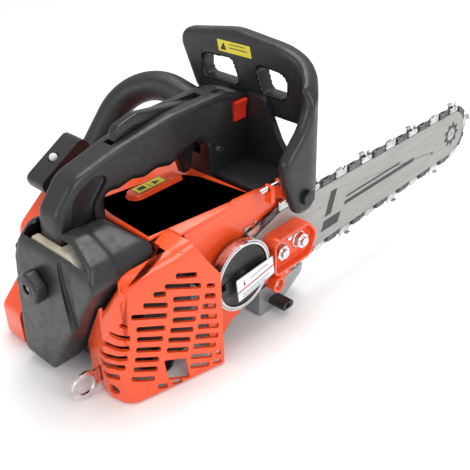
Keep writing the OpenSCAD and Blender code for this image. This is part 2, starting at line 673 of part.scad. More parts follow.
// ---- hand guard and chain brake -------------------------------------------
pivot_y = 58;
pivot_z = 122;
pivot_r = 4;
arm_x0 = 80;
arm_t = 12;
function guard_outline() = [[-50, 167, 16], [arm_x0 + arm_t, 167, 0], [arm_x0 + arm_t, guard_top - 20, 26],
    [56, guard_top - 5, 40], [-6, guard_top, 60], [-74, guard_top - 12, 10]];
function arm_outline() = [[50, pivot_z - 15, 7], [66, pivot_z - 15, 8], [94, pivot_z + 4, 10],
    [98, 152, 24], [guard_y + guard_t, 172, 0], [guard_y + guard_t, 190, 0], [guard_y, 196, 0],
    [54, 178, 20], [32, 156, 12], [37, 138, 14]];
module hand_guard() {
    color(black) difference() {
        union() {
            along_y(guard_y, guard_y + guard_t) outline(guard_outline());
            along_x(arm_x0, arm_x0 + arm_t) outline(arm_outline());
        }
        along_y(guard_y - 1, guard_y + guard_t + 1) {
            outline([[-42, 186, 6], [2, 186, 5], [-7, 207, 6], [-41, 205, 7]]);
            outline([[27, 186, 5], [54, 186, 8], [52, 206, 10], [19, 208, 5]]);
        }
        rod_x(pivot_r + run_gap, arm_x0 - 1, arm_x0 + arm_t + 1, pivot_y, pivot_z);
    }
}
module guard_pivot() {
    color(steel) {
        rod_x(pivot_r, pad_x + 8, arm_x0 + arm_t + 0.6, pivot_y, pivot_z);
        rod_x(7, arm_x0 + arm_t + 0.5, arm_x0 + arm_t + 3.5, pivot_y, pivot_z, $fn = 6);
    }
}
band_r = drum_r + drum_wall + 0.5;
band_t = 1.2;
module brake_band() {
    color(steel) translate([0, 0, crank_z]) difference() {
        ring_x(band_r + band_t, band_r, clutch_x + 0.4, clutch_x + 6.4);
        box([clutch_x, -3, band_r - 3], [clutch_x + 7, 5, band_r + 3]);
    }
}
link_z = pivot_z + 13;
link_x = 75;
link_r = 2;
link_y = 50;
module brake_link() {
    color(steel) {
        rod_y(link_r, 22, link_y + 2, link_x, link_z);
        rod_x(link_r, link_x, arm_x0 - 0.3, link_y, link_z);
    }
}

// ---- clutch ---------------------------------------------------------------
hub_r = 9;
hub_slot = 3;
module clutch_hub() {
    x1 = clutch_x + clutch_w - 1;
    color(dark_steel) translate([0, 0, crank_z]) difference() {
        union() {
            rod_x(hub_r, clutch_x, x1);
            box([clutch_x, -drum_r + 6, -hub_slot], [x1, drum_r - 6, hub_slot]);
        }
        rod_x(stub_r, clutch_x - 1, x1 + 1);
    }
}
module clutch_shoes() {
    x1 = clutch_x + clutch_w - 1.2;
    color(dark_steel) translate([0, 0, crank_z]) difference() {
        rod_x(drum_r - 0.8, clutch_x + 0.2, x1);
        rod_x(hub_r + seat_gap, clutch_x - 1, x1 + 1);
        box([clutch_x - 1, -drum_r, -hub_slot - seat_gap], [x1 + 1, drum_r, hub_slot + seat_gap]);
    }
}
teeth = 6;
sprocket_r = teeth * 2 * chain_pitch / (2 * PI);
sprocket_x = bar_x - 3.4;
needle_r = stub_r + 2;
module clutch_drum() {
    root = sprocket_r - tang - 1;
    color(dark_steel) translate([0, 0, crank_z]) {
        ring_x(drum_r + drum_wall, drum_r, drum_x, clutch_x + clutch_w - 0.6);
        ring_x(drum_r + drum_wall, needle_r, drum_x, drum_x + 2);
        ring_x(root, needle_r, sprocket_x, drum_x + 1);
        // each tooth stands between two drive links
        for (i = [0:teeth - 1]) rotate([(i - 0.25) * 360 / teeth, 0, 0]) along_x(sprocket_x, drum_x + 1)
            outline([[-2.6, root - 1, 0], [2.6, root - 1, 0], [1.6, sprocket_r - 4, 0], [-1.6, sprocket_r - 4, 0]]);
    }
}
module drum_bearing() {
    color(steel) translate([0, 0, crank_z]) ring_x(needle_r, stub_r + run_gap, sprocket_x + 0.2, drum_x + 2);
}
module oil_pump() {
    color(black) translate([0, 0, crank_z]) difference() {
        union() {
            rod_x(20, case_right, case_right + 14);
            box([case_right, -8, -30], [case_right + 10, 8, 0]);
        }
        rod_x(shaft_r + 1.5, case_right - 1, case_right + 15);
    }
}

cover_in = pad_x + 0.2;
crease_z = 101;
screw_y = 39;
screw_z = 41;
screw_r = 4.5;
function clutch_cover_outline() = concat([[seam_y, 0, 2], [-16, 0, 10], [2, 16, 16], [62, 20, 30], [84, 25, 12],
    [92, 40, 14], [body_front, body_top - 8, 3], [58, body_top + 2, 20], [6, body_top + 6, 6],
    [-4, body_top + 0.5, 6]], seam(0));
function pocket_outline() = let (y1 = stud_y + stud_gap)
    [[stud_y - 9, crank_z - 17, 4], [y1 + 10, crank_z - 17, 8], [y1 + 16, crank_z + 1, 6],
     [y1 + 7, crank_z + 13, 8], [stud_y - 9, crank_z + 13, 6]];
module clutch_cover() {
    slope_x = arm_x0 - 0.5;
    color(orange) difference() {
        union() {
            difference() {
                along_x(cover_in, cover_x) outline(clutch_cover_outline());
                along_x(cover_in - 1, cover_x - wall) outline(inset(clutch_cover_outline(), wall));
                // the bar and the chain leave at the front, the chips below
                box([cover_in - 1, 60, crank_z - bar_half - 9], [cover_x - wall - 1, body_front + 9, crank_z + bar_half + 10]);
                box([cover_in - 1, 10, -1], [cover_x - wall - 1, 60, crank_z - bar_half - 9]);
                translate([0, 0, crank_z]) rod_x(band_r + band_t + 2, cover_in - 1, cover_x - wall);
                // slope from the crease up to the roof
                along_y(-90, body_front + 9) outline([[slope_x, crease_z + 4, 0], [cover_x, crease_z, 0],
                    [cover_x + 9, crease_z, 0], [cover_x + 9, body_top + 14, 0], [cover_x - 8, body_top + 14, 0],
                    [cover_x - 7, body_top, 0]]);
            }
            along_x(bar_x + bar_t / 2 + 0.1, cover_x - 1) outline(inset(pocket_outline(), -wall));
            rod_x(8, cover_in + 4, slope_x, pivot_y, pivot_z);
            rod_x(screw_r + wall, cover_x - wall - 6, cover_x - 1, screw_y, screw_z);
            for (y = [30, 42]) box([link_x - 3.5, y, body_top - 4], [link_x + 3.5, y + 4, link_z + 4]);
        }
        along_x(pocket_x, cover_x + 1) outline(pocket_outline());
        for (i = [0, 1]) rod_x(stud_r + seat_gap, bar_x, pocket_x + 1, stud_y + i * stud_gap, crank_z);
        rod_x(tension_r + 0.5, bar_x, pocket_x + 1, tension_y, tension_z);
        rod_x(screw_r, cover_x - wall - 4, cover_x + 1, screw_y, screw_z);
        rod_y(link_r + run_gap, 0, 60, link_x, link_z);
        rod_x(pivot_r, cover_in, arm_x0, pivot_y, pivot_z);
    }
}

// ---- bar and chain --------------------------------------------------------
tail_y = 26;
tail_half = bar_half - 5;
shoulder_y = 62;
// Angle of the straight edge's normal between the shoulder and the nose
function edge_angle(r0, r1) = acos((r0 - r1) / (bar_reach - shoulder_y));
// The bar's outline in (Y, Z from the crank axis), moved inwards by w
function bar_points(w) = let (rs = bar_half - w, rn = nose_r - w, a = edge_angle(rs, rn), t = tail_half - w - 6)
    concat(arc([bar_reach, 0], rn, -a, a, 24), arc([shoulder_y, 0], rs, a, 118, 4),
        [[tail_y + w, t], [tail_y + w, -t]], arc([shoulder_y, 0], rs, -118, -a, 4));
groove_d = 8.4;
race_r = 7;
module guide_bar() {
    plate_h = (bar_t - gauge) / 2;
    slot_h = stud_r + seat_gap;
    color("#a3a39c") translate([0, 0, crank_z]) difference() {
        union() {
            along_x(bar_x - bar_t / 2, bar_x - bar_t / 2 + plate_h) polygon(bar_points(0));
            along_x(bar_x + gauge / 2, bar_x + bar_t / 2) polygon(bar_points(0));
            difference() {
                along_x(bar_x - gauge / 2 - eps, bar_x + gauge / 2 + eps) polygon(bar_points(groove_d));
                rod_x(star_r + 2.5, bar_x - gauge, bar_x + gauge, bar_reach, 0);
            }
            rod_x(race_r, bar_x - gauge, bar_x + gauge, bar_reach, 0);
        }
        along_x(bar_x - bar_t, bar_x + bar_t) outline([[stud_y - 8, -slot_h, 4], [stud_y + stud_gap + 10, -slot_h, 4],
            [stud_y + stud_gap + 10, slot_h, 4], [stud_y - 8, slot_h, 4]]);
        for (s = [-1, 1]) rod_x(tension_r + 0.5, bar_x - bar_t, bar_x + bar_t, tension_y, s * (tension_z - crank_z));
        rod_x(2, bar_x - bar_t, bar_x + bar_t, bar_reach - 36, -9);
    }
}
star_teeth = 9;
star_r = star_teeth * 2 * chain_pitch / (2 * PI) - tang - 0.4;
module nose_sprocket() {
    t = gauge - 0.2;
    color(dark_steel) translate([0, 0, crank_z]) difference() {
        union() {
            translate([0, bar_reach, 0]) for (i = [0:star_teeth - 1]) rotate([i * 360 / star_teeth, 0, 0])
                along_x(bar_x - t / 2, bar_x + t / 2)
                    outline([[-4, race_r + 3, 0], [4, race_r + 3, 0], [0.8, star_r, 0], [-0.8, star_r, 0]]);
            rod_x(race_r + 4, bar_x - t / 2, bar_x + t / 2, bar_reach, 0);
        }
        rod_x(race_r + run_gap, bar_x - t, bar_x + t, bar_reach, 0);
    }
}

// Rivet line of the chain: drive sprocket, bar shoulder and nose, upper half
line_b = bar_half + rivet_h;
line_n = nose_r + rivet_h;
// Links lie along chords, so an arc of radius r takes the chain of a slightly smaller one
function chain_r(r) = chain_pitch * 90 / (PI * asin(chain_pitch / (2 * r)));
ang_1 = acos((sprocket_r - line_b) / shoulder_y);
ang_2 = edge_angle(line_b, line_n);
len_1 = chain_r(sprocket_r) * (180 - ang_1) * PI / 180;
len_2 = sqrt(pow(shoulder_y, 2) - pow(sprocket_r - line_b, 2));
len_3 = chain_r(line_b) * (ang_1 - ang_2) * PI / 180;
len_4 = sqrt(pow(bar_reach - shoulder_y, 2) - pow(line_b - line_n, 2));
len_5 = chain_r(line_n) * ang_2 * PI / 180;
half_len = len_1 + len_2 + len_3 + len_4 + len_5;
// Rivets in the loop: a multiple of four, so that side links and cutters take turns all round
rivets = 4 * round(half_len / (2 * chain_pitch));
pitch = 2 * half_len / rivets;
function polar(c, r, a) = [c + r * cos(a), r * sin(a)];
function along(a, b, t) = a * (1 - t) + b * t;
function upper(s) =
    s < len_1 ? polar(0, sprocket_r, 180 - s / chain_r(sprocket_r) * 180 / PI) :
    s < len_1 + len_2 ? along(polar(0, sprocket_r, ang_1), polar(shoulder_y, line_b, ang_1), (s - len_1) / len_2) :
    s < len_1 + len_2 + len_3 ? polar(shoulder_y, line_b, ang_1 - (s - len_1 - len_2) / chain_r(line_b) * 180 / PI) :
    s < half_len - len_5 ? along(polar(shoulder_y, line_b, ang_2), polar(bar_reach, line_n, ang_2),
        (s - len_1 - len_2 - len_3) / len_4) :
    polar(bar_reach, line_n, (half_len - s) / chain_r(line_n) * 180 / PI);
function rivet(i) = let (s = (i % rivets) * pitch) s <= half_len ? upper(s) :
    let (p = upper(2 * half_len - s)) [p[0], -p[1]];

// Places a link drawn along +Y, with +Z away from the bar, between rivets i and i + 1
module at_link(i) {
    a = rivet(i);
    b = rivet(i + 1);
    m = (a + b) / 2;
    turn = atan2(b[1] - a[1], b[0] - a[0]);
    translate([bar_x, m[0], crank_z + m[1]]) rotate([turn, 0, 0]) children();
}
rivet_r = 1.6;
rivet_gap = 0.08;
link_t = 1.1;
plate_x = gauge / 2 + 0.05;
half_link = pitch / 2;
link_end = half_link + 2.8;
module link_plate(side, points) {
    x0 = side > 0 ? plate_x : -plate_x - link_t;
    along_x(x0, x0 + link_t) outline(points);
}
tie_points = [[-link_end, -2.6, 2.4], [link_end, -2.6, 2.4], [link_end, 2.8, 2.4], [-link_end, 2.8, 2.4]];
cutter_points = [[-link_end, -2.6, 2.4], [link_end, -2.6, 2.4], [link_end, 5.8, 0.8], [half_link + 1.2, 6.2, 0.6],
    [half_link - 1.6, 2.4, 1.6], [0.6, 2.4, 1.4], [-0.4, 7, 0.3], [-half_link - 2.2, 6.2, 0.5]];
module link_rivets() {
    for (s = [-1, 1]) rod_x(rivet_r, -plate_x - link_t - 0.3, plate_x + link_t + 0.3, s * half_link, 0, $fn = 16);
}
module chain_drive_links() {
    t = gauge - 0.1;
    color(dark_steel) for (i = [0:2:rivets - 2]) at_link(i) difference() {
        along_x(-t / 2, t / 2) outline([[-link_end, -2.6, 2.4], [-4, -3, 1], [-2.4, -tang, 1.2], [1.2, -tang, 1.2],
            [4.6, -3, 1], [link_end, -2.6, 2.4], [link_end, 2.8, 2.4], [-link_end, 2.8, 2.4]]);
        for (s = [-1, 1]) rod_x(rivet_r + rivet_gap, -t, t, s * half_link, 0, $fn = 16);
    }
}
module chain_side_links() {
    color(dark_steel) for (i = [3:4:rivets - 1]) at_link(i) {
        for (side = [-1, 1]) link_plate(side, tie_points);
        link_rivets();
    }
}
module chain_cutters() {
    color(steel) for (i = [1:4:rivets - 3]) {
        side = (i - 1) / 4 % 2 == 0 ? 1 : -1;
        at_link(i) {
            link_plate(side, cutter_points);
            link_plate(-side, tie_points);
            link_rivets();
            // top plate of the cutter, leaning outwards
            along_y(-half_link - 1.6, -0.6) mirror([side > 0 ? 0 : 1, 0])
                polygon([[plate_x, 5.6], [plate_x + link_t + 2, 5.8], [plate_x + link_t + 2, 6.8], [plate_x, 6.6]]);
        }
    }
}
module bar_studs() {
    color(steel) for (i = [0, 1]) rod_x(stud_r, pad_x - 11, cover_x + 1, stud_y + i * stud_gap, crank_z);
}
module bar_nuts() {
    nut_h = 6.5;
    color(steel) for (i = [0, 1]) translate([0, stud_y + i * stud_gap, crank_z]) difference() {
        union() {
            rod_x(7.5, pocket_x + 1.5, pocket_x + nut_h, $fn = 6);
            rod_x(8, pocket_x, pocket_x + 1.6);
        }
        rod_x(stud_r, pocket_x - 1, cover_x + 2);
    }
}
tension_r = 3.2;
tension_y = stud_y + 12;
tension_z = crank_z + 9;
module chain_tensioner() {
    color(steel) difference() {
        rod_x(tension_r, pad_x - 8, pocket_x + 3, tension_y, tension_z);
        box([pocket_x + 2, tension_y - 5, tension_z - 0.6], [pocket_x + 4, tension_y + 5, tension_z + 0.6]);
    }
}
module chain_catcher() {
    color(black) difference() {
        along_x(pad_x, cover_x - 3) outline([[46, 7, 3], [60, 7, 3], [60, 14, 3], [46, 14, 3]]);
        rod_x(2.5, cover_x - 6, cover_x, 53, 10.5);
    }
}

// ---- side handle and starter ----------------------------------------------
bend_r = 45;
tube_route = [[-9, 67, 157], [-104, 56, 184], [-112, -4, 108], [-108, -24, 16]];
function turn_at(i) = acos(unit(tube_route[i] - tube_route[i - 1]) * unit(tube_route[i + 1] - tube_route[i]));
function cut_at(i) = i == 0 || i == len(tube_route) - 1 ? 0 : bend_r * tan(turn_at(i) / 2);
// The tube, grown by g: straight runs with a round bend at each corner
module side_tube(g) {
    for (i = [0:len(tube_route) - 2]) {
        u = unit(tube_route[i + 1] - tube_route[i]);
        // each run reaches a little into its bends, a hair slimmer
        strut(tube_route[i] + u * (cut_at(i) - 0.5), tube_route[i + 1] - u * (cut_at(i + 1) - 0.5), tube_r + g - 0.03);
    }
    for (i = [1:len(tube_route) - 2]) {
        u = unit(tube_route[i] - tube_route[i - 1]);
        v = unit(tube_route[i + 1] - tube_route[i]);
        w = unit(v - u * (u * v));
        c = tube_route[i] - u * cut_at(i) + w * bend_r;
        n = cross(-w, u);
        multmatrix([[-w[0], u[0], n[0], c[0]], [-w[1], u[1], n[1], c[1]], [-w[2], u[2], n[2], c[2]]])
            rotate_extrude(angle = turn_at(i)) translate([bend_r, 0]) circle(r = tube_r + g);
    }
}
module side_handle() {
    color(black) {
        difference() {
            side_tube(0);
            box([-handle_x + 6, 30, 130], [10, 90, handle_top]);
        }
        along_x(-housing_x - 14, -housing_x - 0.2) outline([[-44, 4, 8], [-6, 4, 8], [-6, 34, 8], [-44, 34, 8]]);
    }
}

function housing_outline() = [[-126, 0, 6], [62, 0, 10], [76, 26, 14], [74, 84, 22], [36, body_top - 8, 20],
    [-66, body_top - 6, 12], [-96, body_top - 30, 14], [-104, 54, 12], [-126, 32, 10]];
housing_in = -60;
oil_y = 56;
oil_z = 34;
fuel_y = -66;
fuel_z = 26;
cap_r = 14;
boss_r = 6;
module starter_housing() {
    color(orange) difference() {
        union() {
            difference() {
                along_x(-housing_x, housing_in) outline(housing_outline());
                along_x(-housing_x + wall, housing_in + 1) outline(inset(housing_outline(), wall));
            }
            rod_x(boss_r, -housing_x + 1, pulley_x + pulley_w + 2, 0, crank_z);
        }
        // fan intake
        translate([0, 0, crank_z]) for (i = [0:11], r = [15, 24, 33]) rotate([i * 30, 0, 0])
            box([-housing_x - 1, -r * 0.18, r], [-housing_x + wall + 1, r * 0.18, r + 5]);
        for (c = [[oil_y, oil_z, cap_r], [fuel_y, fuel_z, cap_r], [primer_y, primer_z, primer_r]])
            rod_x(c[2] + 0.6, -housing_x - 1, -housing_x + wall + 1, c[0], c[1]);
        rod_x(choke_r + run_gap, -housing_x - 1, -housing_x + wall + 1, choke_y, choke_z);
        translate(eyelet) rotate([grip_tilt, 0, 0]) cylinder(r = 4, h = 20, center = true);
    }
}
grip_c = [-78, -55, 140];
grip_tilt = 30;
pull = [0, -sin(grip_tilt), cos(grip_tilt)];
eyelet = grip_c - pull * 19;
rope_r = 1.6;
module starter_pulley() {
    color("#2a2a2c") translate([0, 0, crank_z]) difference() {
        union() {
            rod_x(pulley_r - rope_r, pulley_x, pulley_x + pulley_w);
            for (x = [pulley_x, pulley_x + pulley_w - 1.4]) rod_x(pulley_r + 3, x, x + 1.4);
        }
        rod_x(boss_r + run_gap, pulley_x - 1, pulley_x + pulley_w + 1);
    }
}
module recoil_spring() {
    turns = 5;
    pitch_r = 2.6;
    function coil(a, t) = (boss_r + 1.5 + t + pitch_r * a / 360) * [cos(a), sin(a)];
    x0 = -housing_x + wall;
    color(steel) translate([0, 0, crank_z]) along_x(x0, pulley_x - 0.5)
        polygon(concat([for (a = [0:15:turns * 360]) coil(a, 1)], [for (a = [turns * 360:-15:0]) coil(a, 0)]));
}
module starter_grip() {
    color(black) translate(grip_c) rotate([grip_tilt, 0, 0]) difference() {
        along_x(-11, 11) outline([[-28, -7, 5], [28, -7, 5], [26, 7, 6], [-26, 7, 6]]);
        cylinder(r = rope_r + 0.1, h = 40, center = true);
        translate([0, 0, 4]) cylinder(r = 5, h = 10);
    }
}
module starter_rope() {
    top = grip_c + pull * 4;
    touch = [pulley_x + pulley_w / 2, -pulley_r * cos(12), crank_z + pulley_r * sin(12)];
    color("#e8e6e0") {
        strut(eyelet, top, rope_r);
        translate(eyelet) sphere(r = rope_r + 0.1);
        strut(touch, eyelet, rope_r);
        translate(top + pull * 3) sphere(r = 3.5);
    }
}

// ---- tanks and small parts ------------------------------------------------
tank_x0 = -44;
tank_x1 = 24;
tank_wall = 2.4;
neck_x0 = -housing_x + 14;
function fuel_tank_outline() = [[base_y + 7, 0, 6], [-sole_rear - 0.4, 0, 4], [-sole_rear - 0.4, 30, 4],
    [-60, 42, 10], [base_y + 7, 52, 6]];
function oil_tank_outline() = [[47, 12, 4], [body_front - 18, 22, 8], [body_front - 12, crank_z - 8, 8],
    [47, crank_z - 8, 6]];
module tank(points, x1, y, z) {
    color("#3a3a3c") difference() {
        union() {
            along_x(tank_x0, x1) outline(points);
            rod_x(cap_r - 3, neck_x0, tank_x0 + 2, y, z);
        }
        along_x(tank_x0 + tank_wall, x1 - tank_wall) outline(inset(points, tank_wall));
        rod_x(cap_r - 6, neck_x0 - 1, tank_x0 + 4, y, z);
    }
}
module filler_cap(y, z) {
    x0 = -housing_x - 3;
    color(black) {
        difference() {
            rod_x(cap_r, x0, neck_x0 - 0.1, y, z);
            for (i = [0:9]) translate([0, y, z]) rotate([i * 36, 0, 0]) rod_x(1.2, x0 - 1, x0 + 4, 0, cap_r);
        }
        rod_x(cap_r - 6.1, neck_x0 - 1, neck_x0 + 10, y, z);
        box([x0 - 3, y - cap_r + 4, z - 2], [x0 + 1, y + cap_r - 4, z + 2]);
    }
}
module fuel_tank() { tank(fuel_tank_outline(), tank_x1, fuel_y, fuel_z); }
module fuel_cap() { filler_cap(fuel_y, fuel_z); }
module oil_tank() { tank(oil_tank_outline(), pad_x - 10, oil_y, oil_z); }
module oil_cap() { filler_cap(oil_y, oil_z); }

ring_xc = 29;
eye_r = 8;
eye_y = -body_rear - 15;
eye_z = 13;
plate_t = 2.5;
module lanyard_ring() {
    x0 = ring_xc - plate_t / 2;
    x1 = ring_xc + plate_t / 2;
    color(steel) difference() {
        union() {
            rod_x(eye_r + 4.5, x0, x1, eye_y, eye_z);
            box([x0, eye_y + 6, eye_z - 4], [x1, base_y + 7 - seat_gap, eye_z + 9]);
            box([tank_x1 - 10, base_y + 4.2, eye_z - 4], [x1, base_y + 7, eye_z + 9]);
        }
        rod_x(eye_r, x0 - 1, x1 + 1, eye_y, eye_z);
    }
}
module cover_screws() {
    color(steel) {
        for (p = [[-112, 12], [50, 10], [66, 68], [24, 108], [-60, 108]])
            rod_x(4, -housing_x - 2, -housing_x, p[0], p[1]);
        rod_x(3, handle_x, handle_x + 1.5, 40, grip_under - 6);
        rod_x(screw_r - 0.4, cover_x - wall - 4, cover_x - wall - 1, screw_y, screw_z);
    }
}

crankcase_left();
crankcase_right();
crank_bearings();
crankshaft();
flywheel();
ignition_coil();
engine_cylinder();
piston();
connecting_rod();
spark_plug();
plug_boot();
muffler();
muffler_cover();
intake_manifold();
carburettor();
throttle_butterfly();
choke_lever();
primer_bulb();
filter_base();
air_filter();
filter_cover();
filter_knob();
top_cover();
top_handle();
handle_base();
throttle_trigger();
trigger_lockout();
stop_switch();
hand_guard();
guard_pivot();
brake_band();
brake_link();
clutch_hub();
clutch_shoes();
clutch_drum();
drum_bearing();
oil_pump();
clutch_cover();
guide_bar();
nose_sprocket();
chain_drive_links();
chain_side_links();
chain_cutters();
bar_studs();
bar_nuts();
chain_tensioner();
chain_catcher();
side_handle();
starter_housing();
starter_pulley();
recoil_spring();
starter_grip();
starter_rope();
fuel_tank();
fuel_cap();
oil_tank();
oil_cap();
lanyard_ring();
cover_screws();
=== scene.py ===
"""A top-handle petrol chainsaw, put together the way the real one is.

The casings, handles and guard are moulded here over the CAD frame; the engine,
clutch, bar and chain keep their CAD shapes and get their own metals.
"""

import math

import bpy
from mathutils import Matrix, Vector


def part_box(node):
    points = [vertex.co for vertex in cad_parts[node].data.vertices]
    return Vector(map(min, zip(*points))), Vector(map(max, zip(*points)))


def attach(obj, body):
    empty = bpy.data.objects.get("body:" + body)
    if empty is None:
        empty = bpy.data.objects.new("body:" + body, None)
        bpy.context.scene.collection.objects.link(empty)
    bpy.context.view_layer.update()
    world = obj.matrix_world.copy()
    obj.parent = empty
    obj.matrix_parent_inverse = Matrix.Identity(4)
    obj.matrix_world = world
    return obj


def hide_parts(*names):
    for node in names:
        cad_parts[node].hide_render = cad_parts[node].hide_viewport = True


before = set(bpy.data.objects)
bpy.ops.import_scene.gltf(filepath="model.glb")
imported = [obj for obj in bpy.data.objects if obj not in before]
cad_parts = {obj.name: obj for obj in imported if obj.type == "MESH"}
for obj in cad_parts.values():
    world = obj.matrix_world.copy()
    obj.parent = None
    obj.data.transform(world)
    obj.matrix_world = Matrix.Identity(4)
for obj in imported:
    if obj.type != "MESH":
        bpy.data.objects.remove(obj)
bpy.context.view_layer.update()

# ---- Studio ---------------------------------------------------------------
# A long lens looks down on the saw from behind its right side. The saw stands
# on a pale sweep under three large soft lights.
AZIMUTH, ELEVATION, ROLL = 44.4, 32.4, -1.75  # degrees
CAMERA_PLACE, LENS, FILM_WIDTH = (0.423, -0.362, 0.426), 59.285, 36
FLOOR_SIZE, FLOOR_DROP = 8, 0.0004
SKY_STRENGTH = 0.62
AIM = (0, 0.02, 0.1)  # the middle of the saw, which every light faces
turn, rise = math.radians(AZIMUTH), math.radians(ELEVATION)
right = Vector((math.cos(turn), math.sin(turn), 0))
up = Vector((-math.sin(turn) * math.sin(rise), math.cos(turn) * math.sin(rise), math.cos(rise)))
camera = bpy.data.objects.new("camera", bpy.data.cameras.new("camera"))
bpy.context.scene.collection.objects.link(camera)
camera.data.sensor_width = FILM_WIDTH
camera.data.lens = LENS
camera.data.clip_start = 0.01
camera.matrix_world = (
    Matrix.Translation(CAMERA_PLACE)
    @ Matrix((right, up, right.cross(up))).transposed().to_4x4()
    @ Matrix.Rotation(math.radians(ROLL), 4, "Z")
)
bpy.context.scene.camera = camera
bpy.context.scene.view_settings.view_transform = "Standard"

bpy.ops.object.select_all(action="DESELECT")
bpy.ops.mesh.primitive_plane_add(size=FLOOR_SIZE, location=(0, 0, -FLOOR_DROP))
floor = bpy.context.object
floor.name = "floor"
floor_paint = bpy.data.materials.new("pale_floor")
floor_paint.use_nodes = True
paint = floor_paint.node_tree.nodes["Principled BSDF"]
paint.inputs["Base Color"].default_value = (0.9, 0.9, 0.9, 1)
paint.inputs["Roughness"].default_value = 0.9
paint.inputs["Specular IOR Level"].default_value = 0.1
floor.data.materials.append(floor_paint)

sky = bpy.data.worlds.new("studio")
bpy.context.scene.world = sky
sky.use_nodes = True
sky.node_tree.nodes["Background"].inputs["Color"].default_value = (1, 1, 1, 1)
sky.node_tree.nodes["Background"].inputs["Strength"].default_value = SKY_STRENGTH


def soft_light(name, place, size, power):
    """A square soft box that faces AIM; place and size in metres, power in watts."""
    lamp = bpy.data.lights.new(name, "AREA")
    lamp.shape, lamp.size, lamp.energy = "SQUARE", size, power
    box = bpy.data.objects.new(name, lamp)
    bpy.context.scene.collection.objects.link(box)
    box.location = place
    box.rotation_mode = "QUATERNION"
    box.rotation_quaternion = (Vector(AIM) - box.location).to_track_quat("-Z", "Y")


soft_light("top_light", (-0.1, 0.35, 1.5), 1.1, 17)
soft_light("side_light", (1.5, -0.2, 0.9), 0.9, 11)
soft_light("rear_light", (-0.3, -1.6, 0.8), 0.8, 7)


# ---- Crankcase and crank --------------------------------------------------
# Two pressure-cast alloy halves carry the crankshaft in ball bearings. The
# castings are shot-blasted; the shaft, rod and bearings are ground steel.
CRANK_Z = 70  # height of the crank axis, in mm; bar, nuts and starter share it
EDGE_ANGLE = 50  # degrees; keep() leaves flatter edges as they are


def marks(name, broad, grain, scuffs, stretch=(1, 1, 1)):
    """What one kind of surface shows: slow change of tone, scuffed polish, fine relief."""
    group = bpy.data.node_groups.new(name, "ShaderNodeTree")
    for label in ("Tone", "Polish", "Relief"):
        group.interface.new_socket(name=label, in_out="OUTPUT", socket_type="NodeSocketFloat")
    nodes, link = group.nodes, group.links.new
    out, place = nodes.new("NodeGroupOutput"), nodes.new("ShaderNodeTexCoord")
    shape = nodes.new("ShaderNodeMapping")
    shape.inputs["Scale"].default_value = stretch
    link(place.outputs["Object"], shape.inputs["Vector"])
    fields = []
    for scale, detail in ((broad, 3), (scuffs, 6), (grain, 2)):
        field = nodes.new("ShaderNodeTexNoise")
        field.inputs["Scale"].default_value = scale
        field.inputs["Detail"].default_value = detail
        link(shape.outputs["Vector"], field.inputs["Vector"])
        fields.append(field.outputs["Fac"])
    spread = nodes.new("ShaderNodeMapRange")
    spread.inputs["From Min"].default_value = 0.3
    spread.inputs["From Max"].default_value = 0.7
    link(fields[0], spread.inputs["Value"])
    link(spread.outputs["Result"], out.inputs["Tone"])
    worn = nodes.new("ShaderNodeMapRange")
    worn.inputs["From Min"].default_value = 0.42
    worn.inputs["From Max"].default_value = 0.72
    link(fields[1], worn.inputs["Value"])
    link(worn.outputs["Result"], out.inputs["Polish"])
    link(fields[2], out.inputs["Relief"])
    return group


def finish(name, kind, dark, light, smooth, dull, relief=0.1, depth=0.0002, **shader):
    """A finish: colour between dark and light, roughness between smooth and dull, fine bump."""
    material = bpy.data.materials.new(name)
    material.use_nodes = True
    nodes, link = material.node_tree.nodes, material.node_tree.links.new
    surface = nodes["Principled BSDF"]
    seen = nodes.new("ShaderNodeGroup")
    seen.node_tree = kind
    colour = nodes.new("ShaderNodeMix")
    colour.data_type = "RGBA"
    colour.inputs[6].default_value = (*dark, 1)
    colour.inputs[7].default_value = (*light, 1)
    link(seen.outputs["Tone"], colour.inputs["Factor"])
    link(colour.outputs[2], surface.inputs["Base Color"])
    polish = nodes.new("ShaderNodeMapRange")
    polish.inputs["To Min"].default_value = smooth
    polish.inputs["To Max"].default_value = dull
    link(seen.outputs["Polish"], polish.inputs["Value"])
    link(polish.outputs["Result"], surface.inputs["Roughness"])
    bump = nodes.new("ShaderNodeBump")
    bump.inputs["Strength"].default_value = relief
    bump.inputs["Distance"].default_value = depth
    link(seen.outputs["Relief"], bump.inputs["Height"])
    link(bump.outputs["Normal"], surface.inputs["Normal"])
    for socket, value in shader.items():
        surface.inputs[socket.replace("_", " ")].default_value = value
    return material


def keep(node, material, edge=0.0):
    """A CAD node that stays as it is, in a better finish and with its edges broken by edge mm."""
    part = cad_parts[node]
    part.data.materials.clear()
    part.data.materials.append(material)
    if edge:
        weld = part.modifiers.new("weld", "WELD")
        weld.merge_threshold = 1e-6
        bevel = part.modifiers.new("broken_edge", "BEVEL")
        bevel.width, bevel.segments = edge / 1000, 2
        bevel.limit_method, bevel.angle_limit = "ANGLE", math.radians(EDGE_ANGLE)
        bevel.harden_normals = False
    return part


cast_marks = marks("cast_marks", 30, 1400, 260)
steel_marks = marks("steel_marks", 40, 900, 300, (1, 1, 6))
cast_alloy = finish("cast_alloy", cast_marks, (0.36, 0.37, 0.38), (0.48, 0.49, 0.5), 0.42, 0.62,
                    0.5, Metallic=0.85)
machined = finish("machined_steel", steel_marks, (0.55, 0.56, 0.57), (0.68, 0.69, 0.7), 0.2, 0.36,
                  0.05, Metallic=1)
black_steel = finish("black_steel", steel_marks, (0.03, 0.03, 0.032), (0.07, 0.07, 0.072), 0.36,
                     0.55, 0.1, Metallic=0.8)
for node in ("crankcase_left", "crankcase_right"):
    keep(node, cast_alloy, 0.8)
for node in ("crank_bearings", "crankshaft", "connecting_rod", "drum_bearing"):
    keep(node, machined)
keep("flywheel", cast_alloy, 0.4)
keep("ignition_coil", black_steel, 0.5)

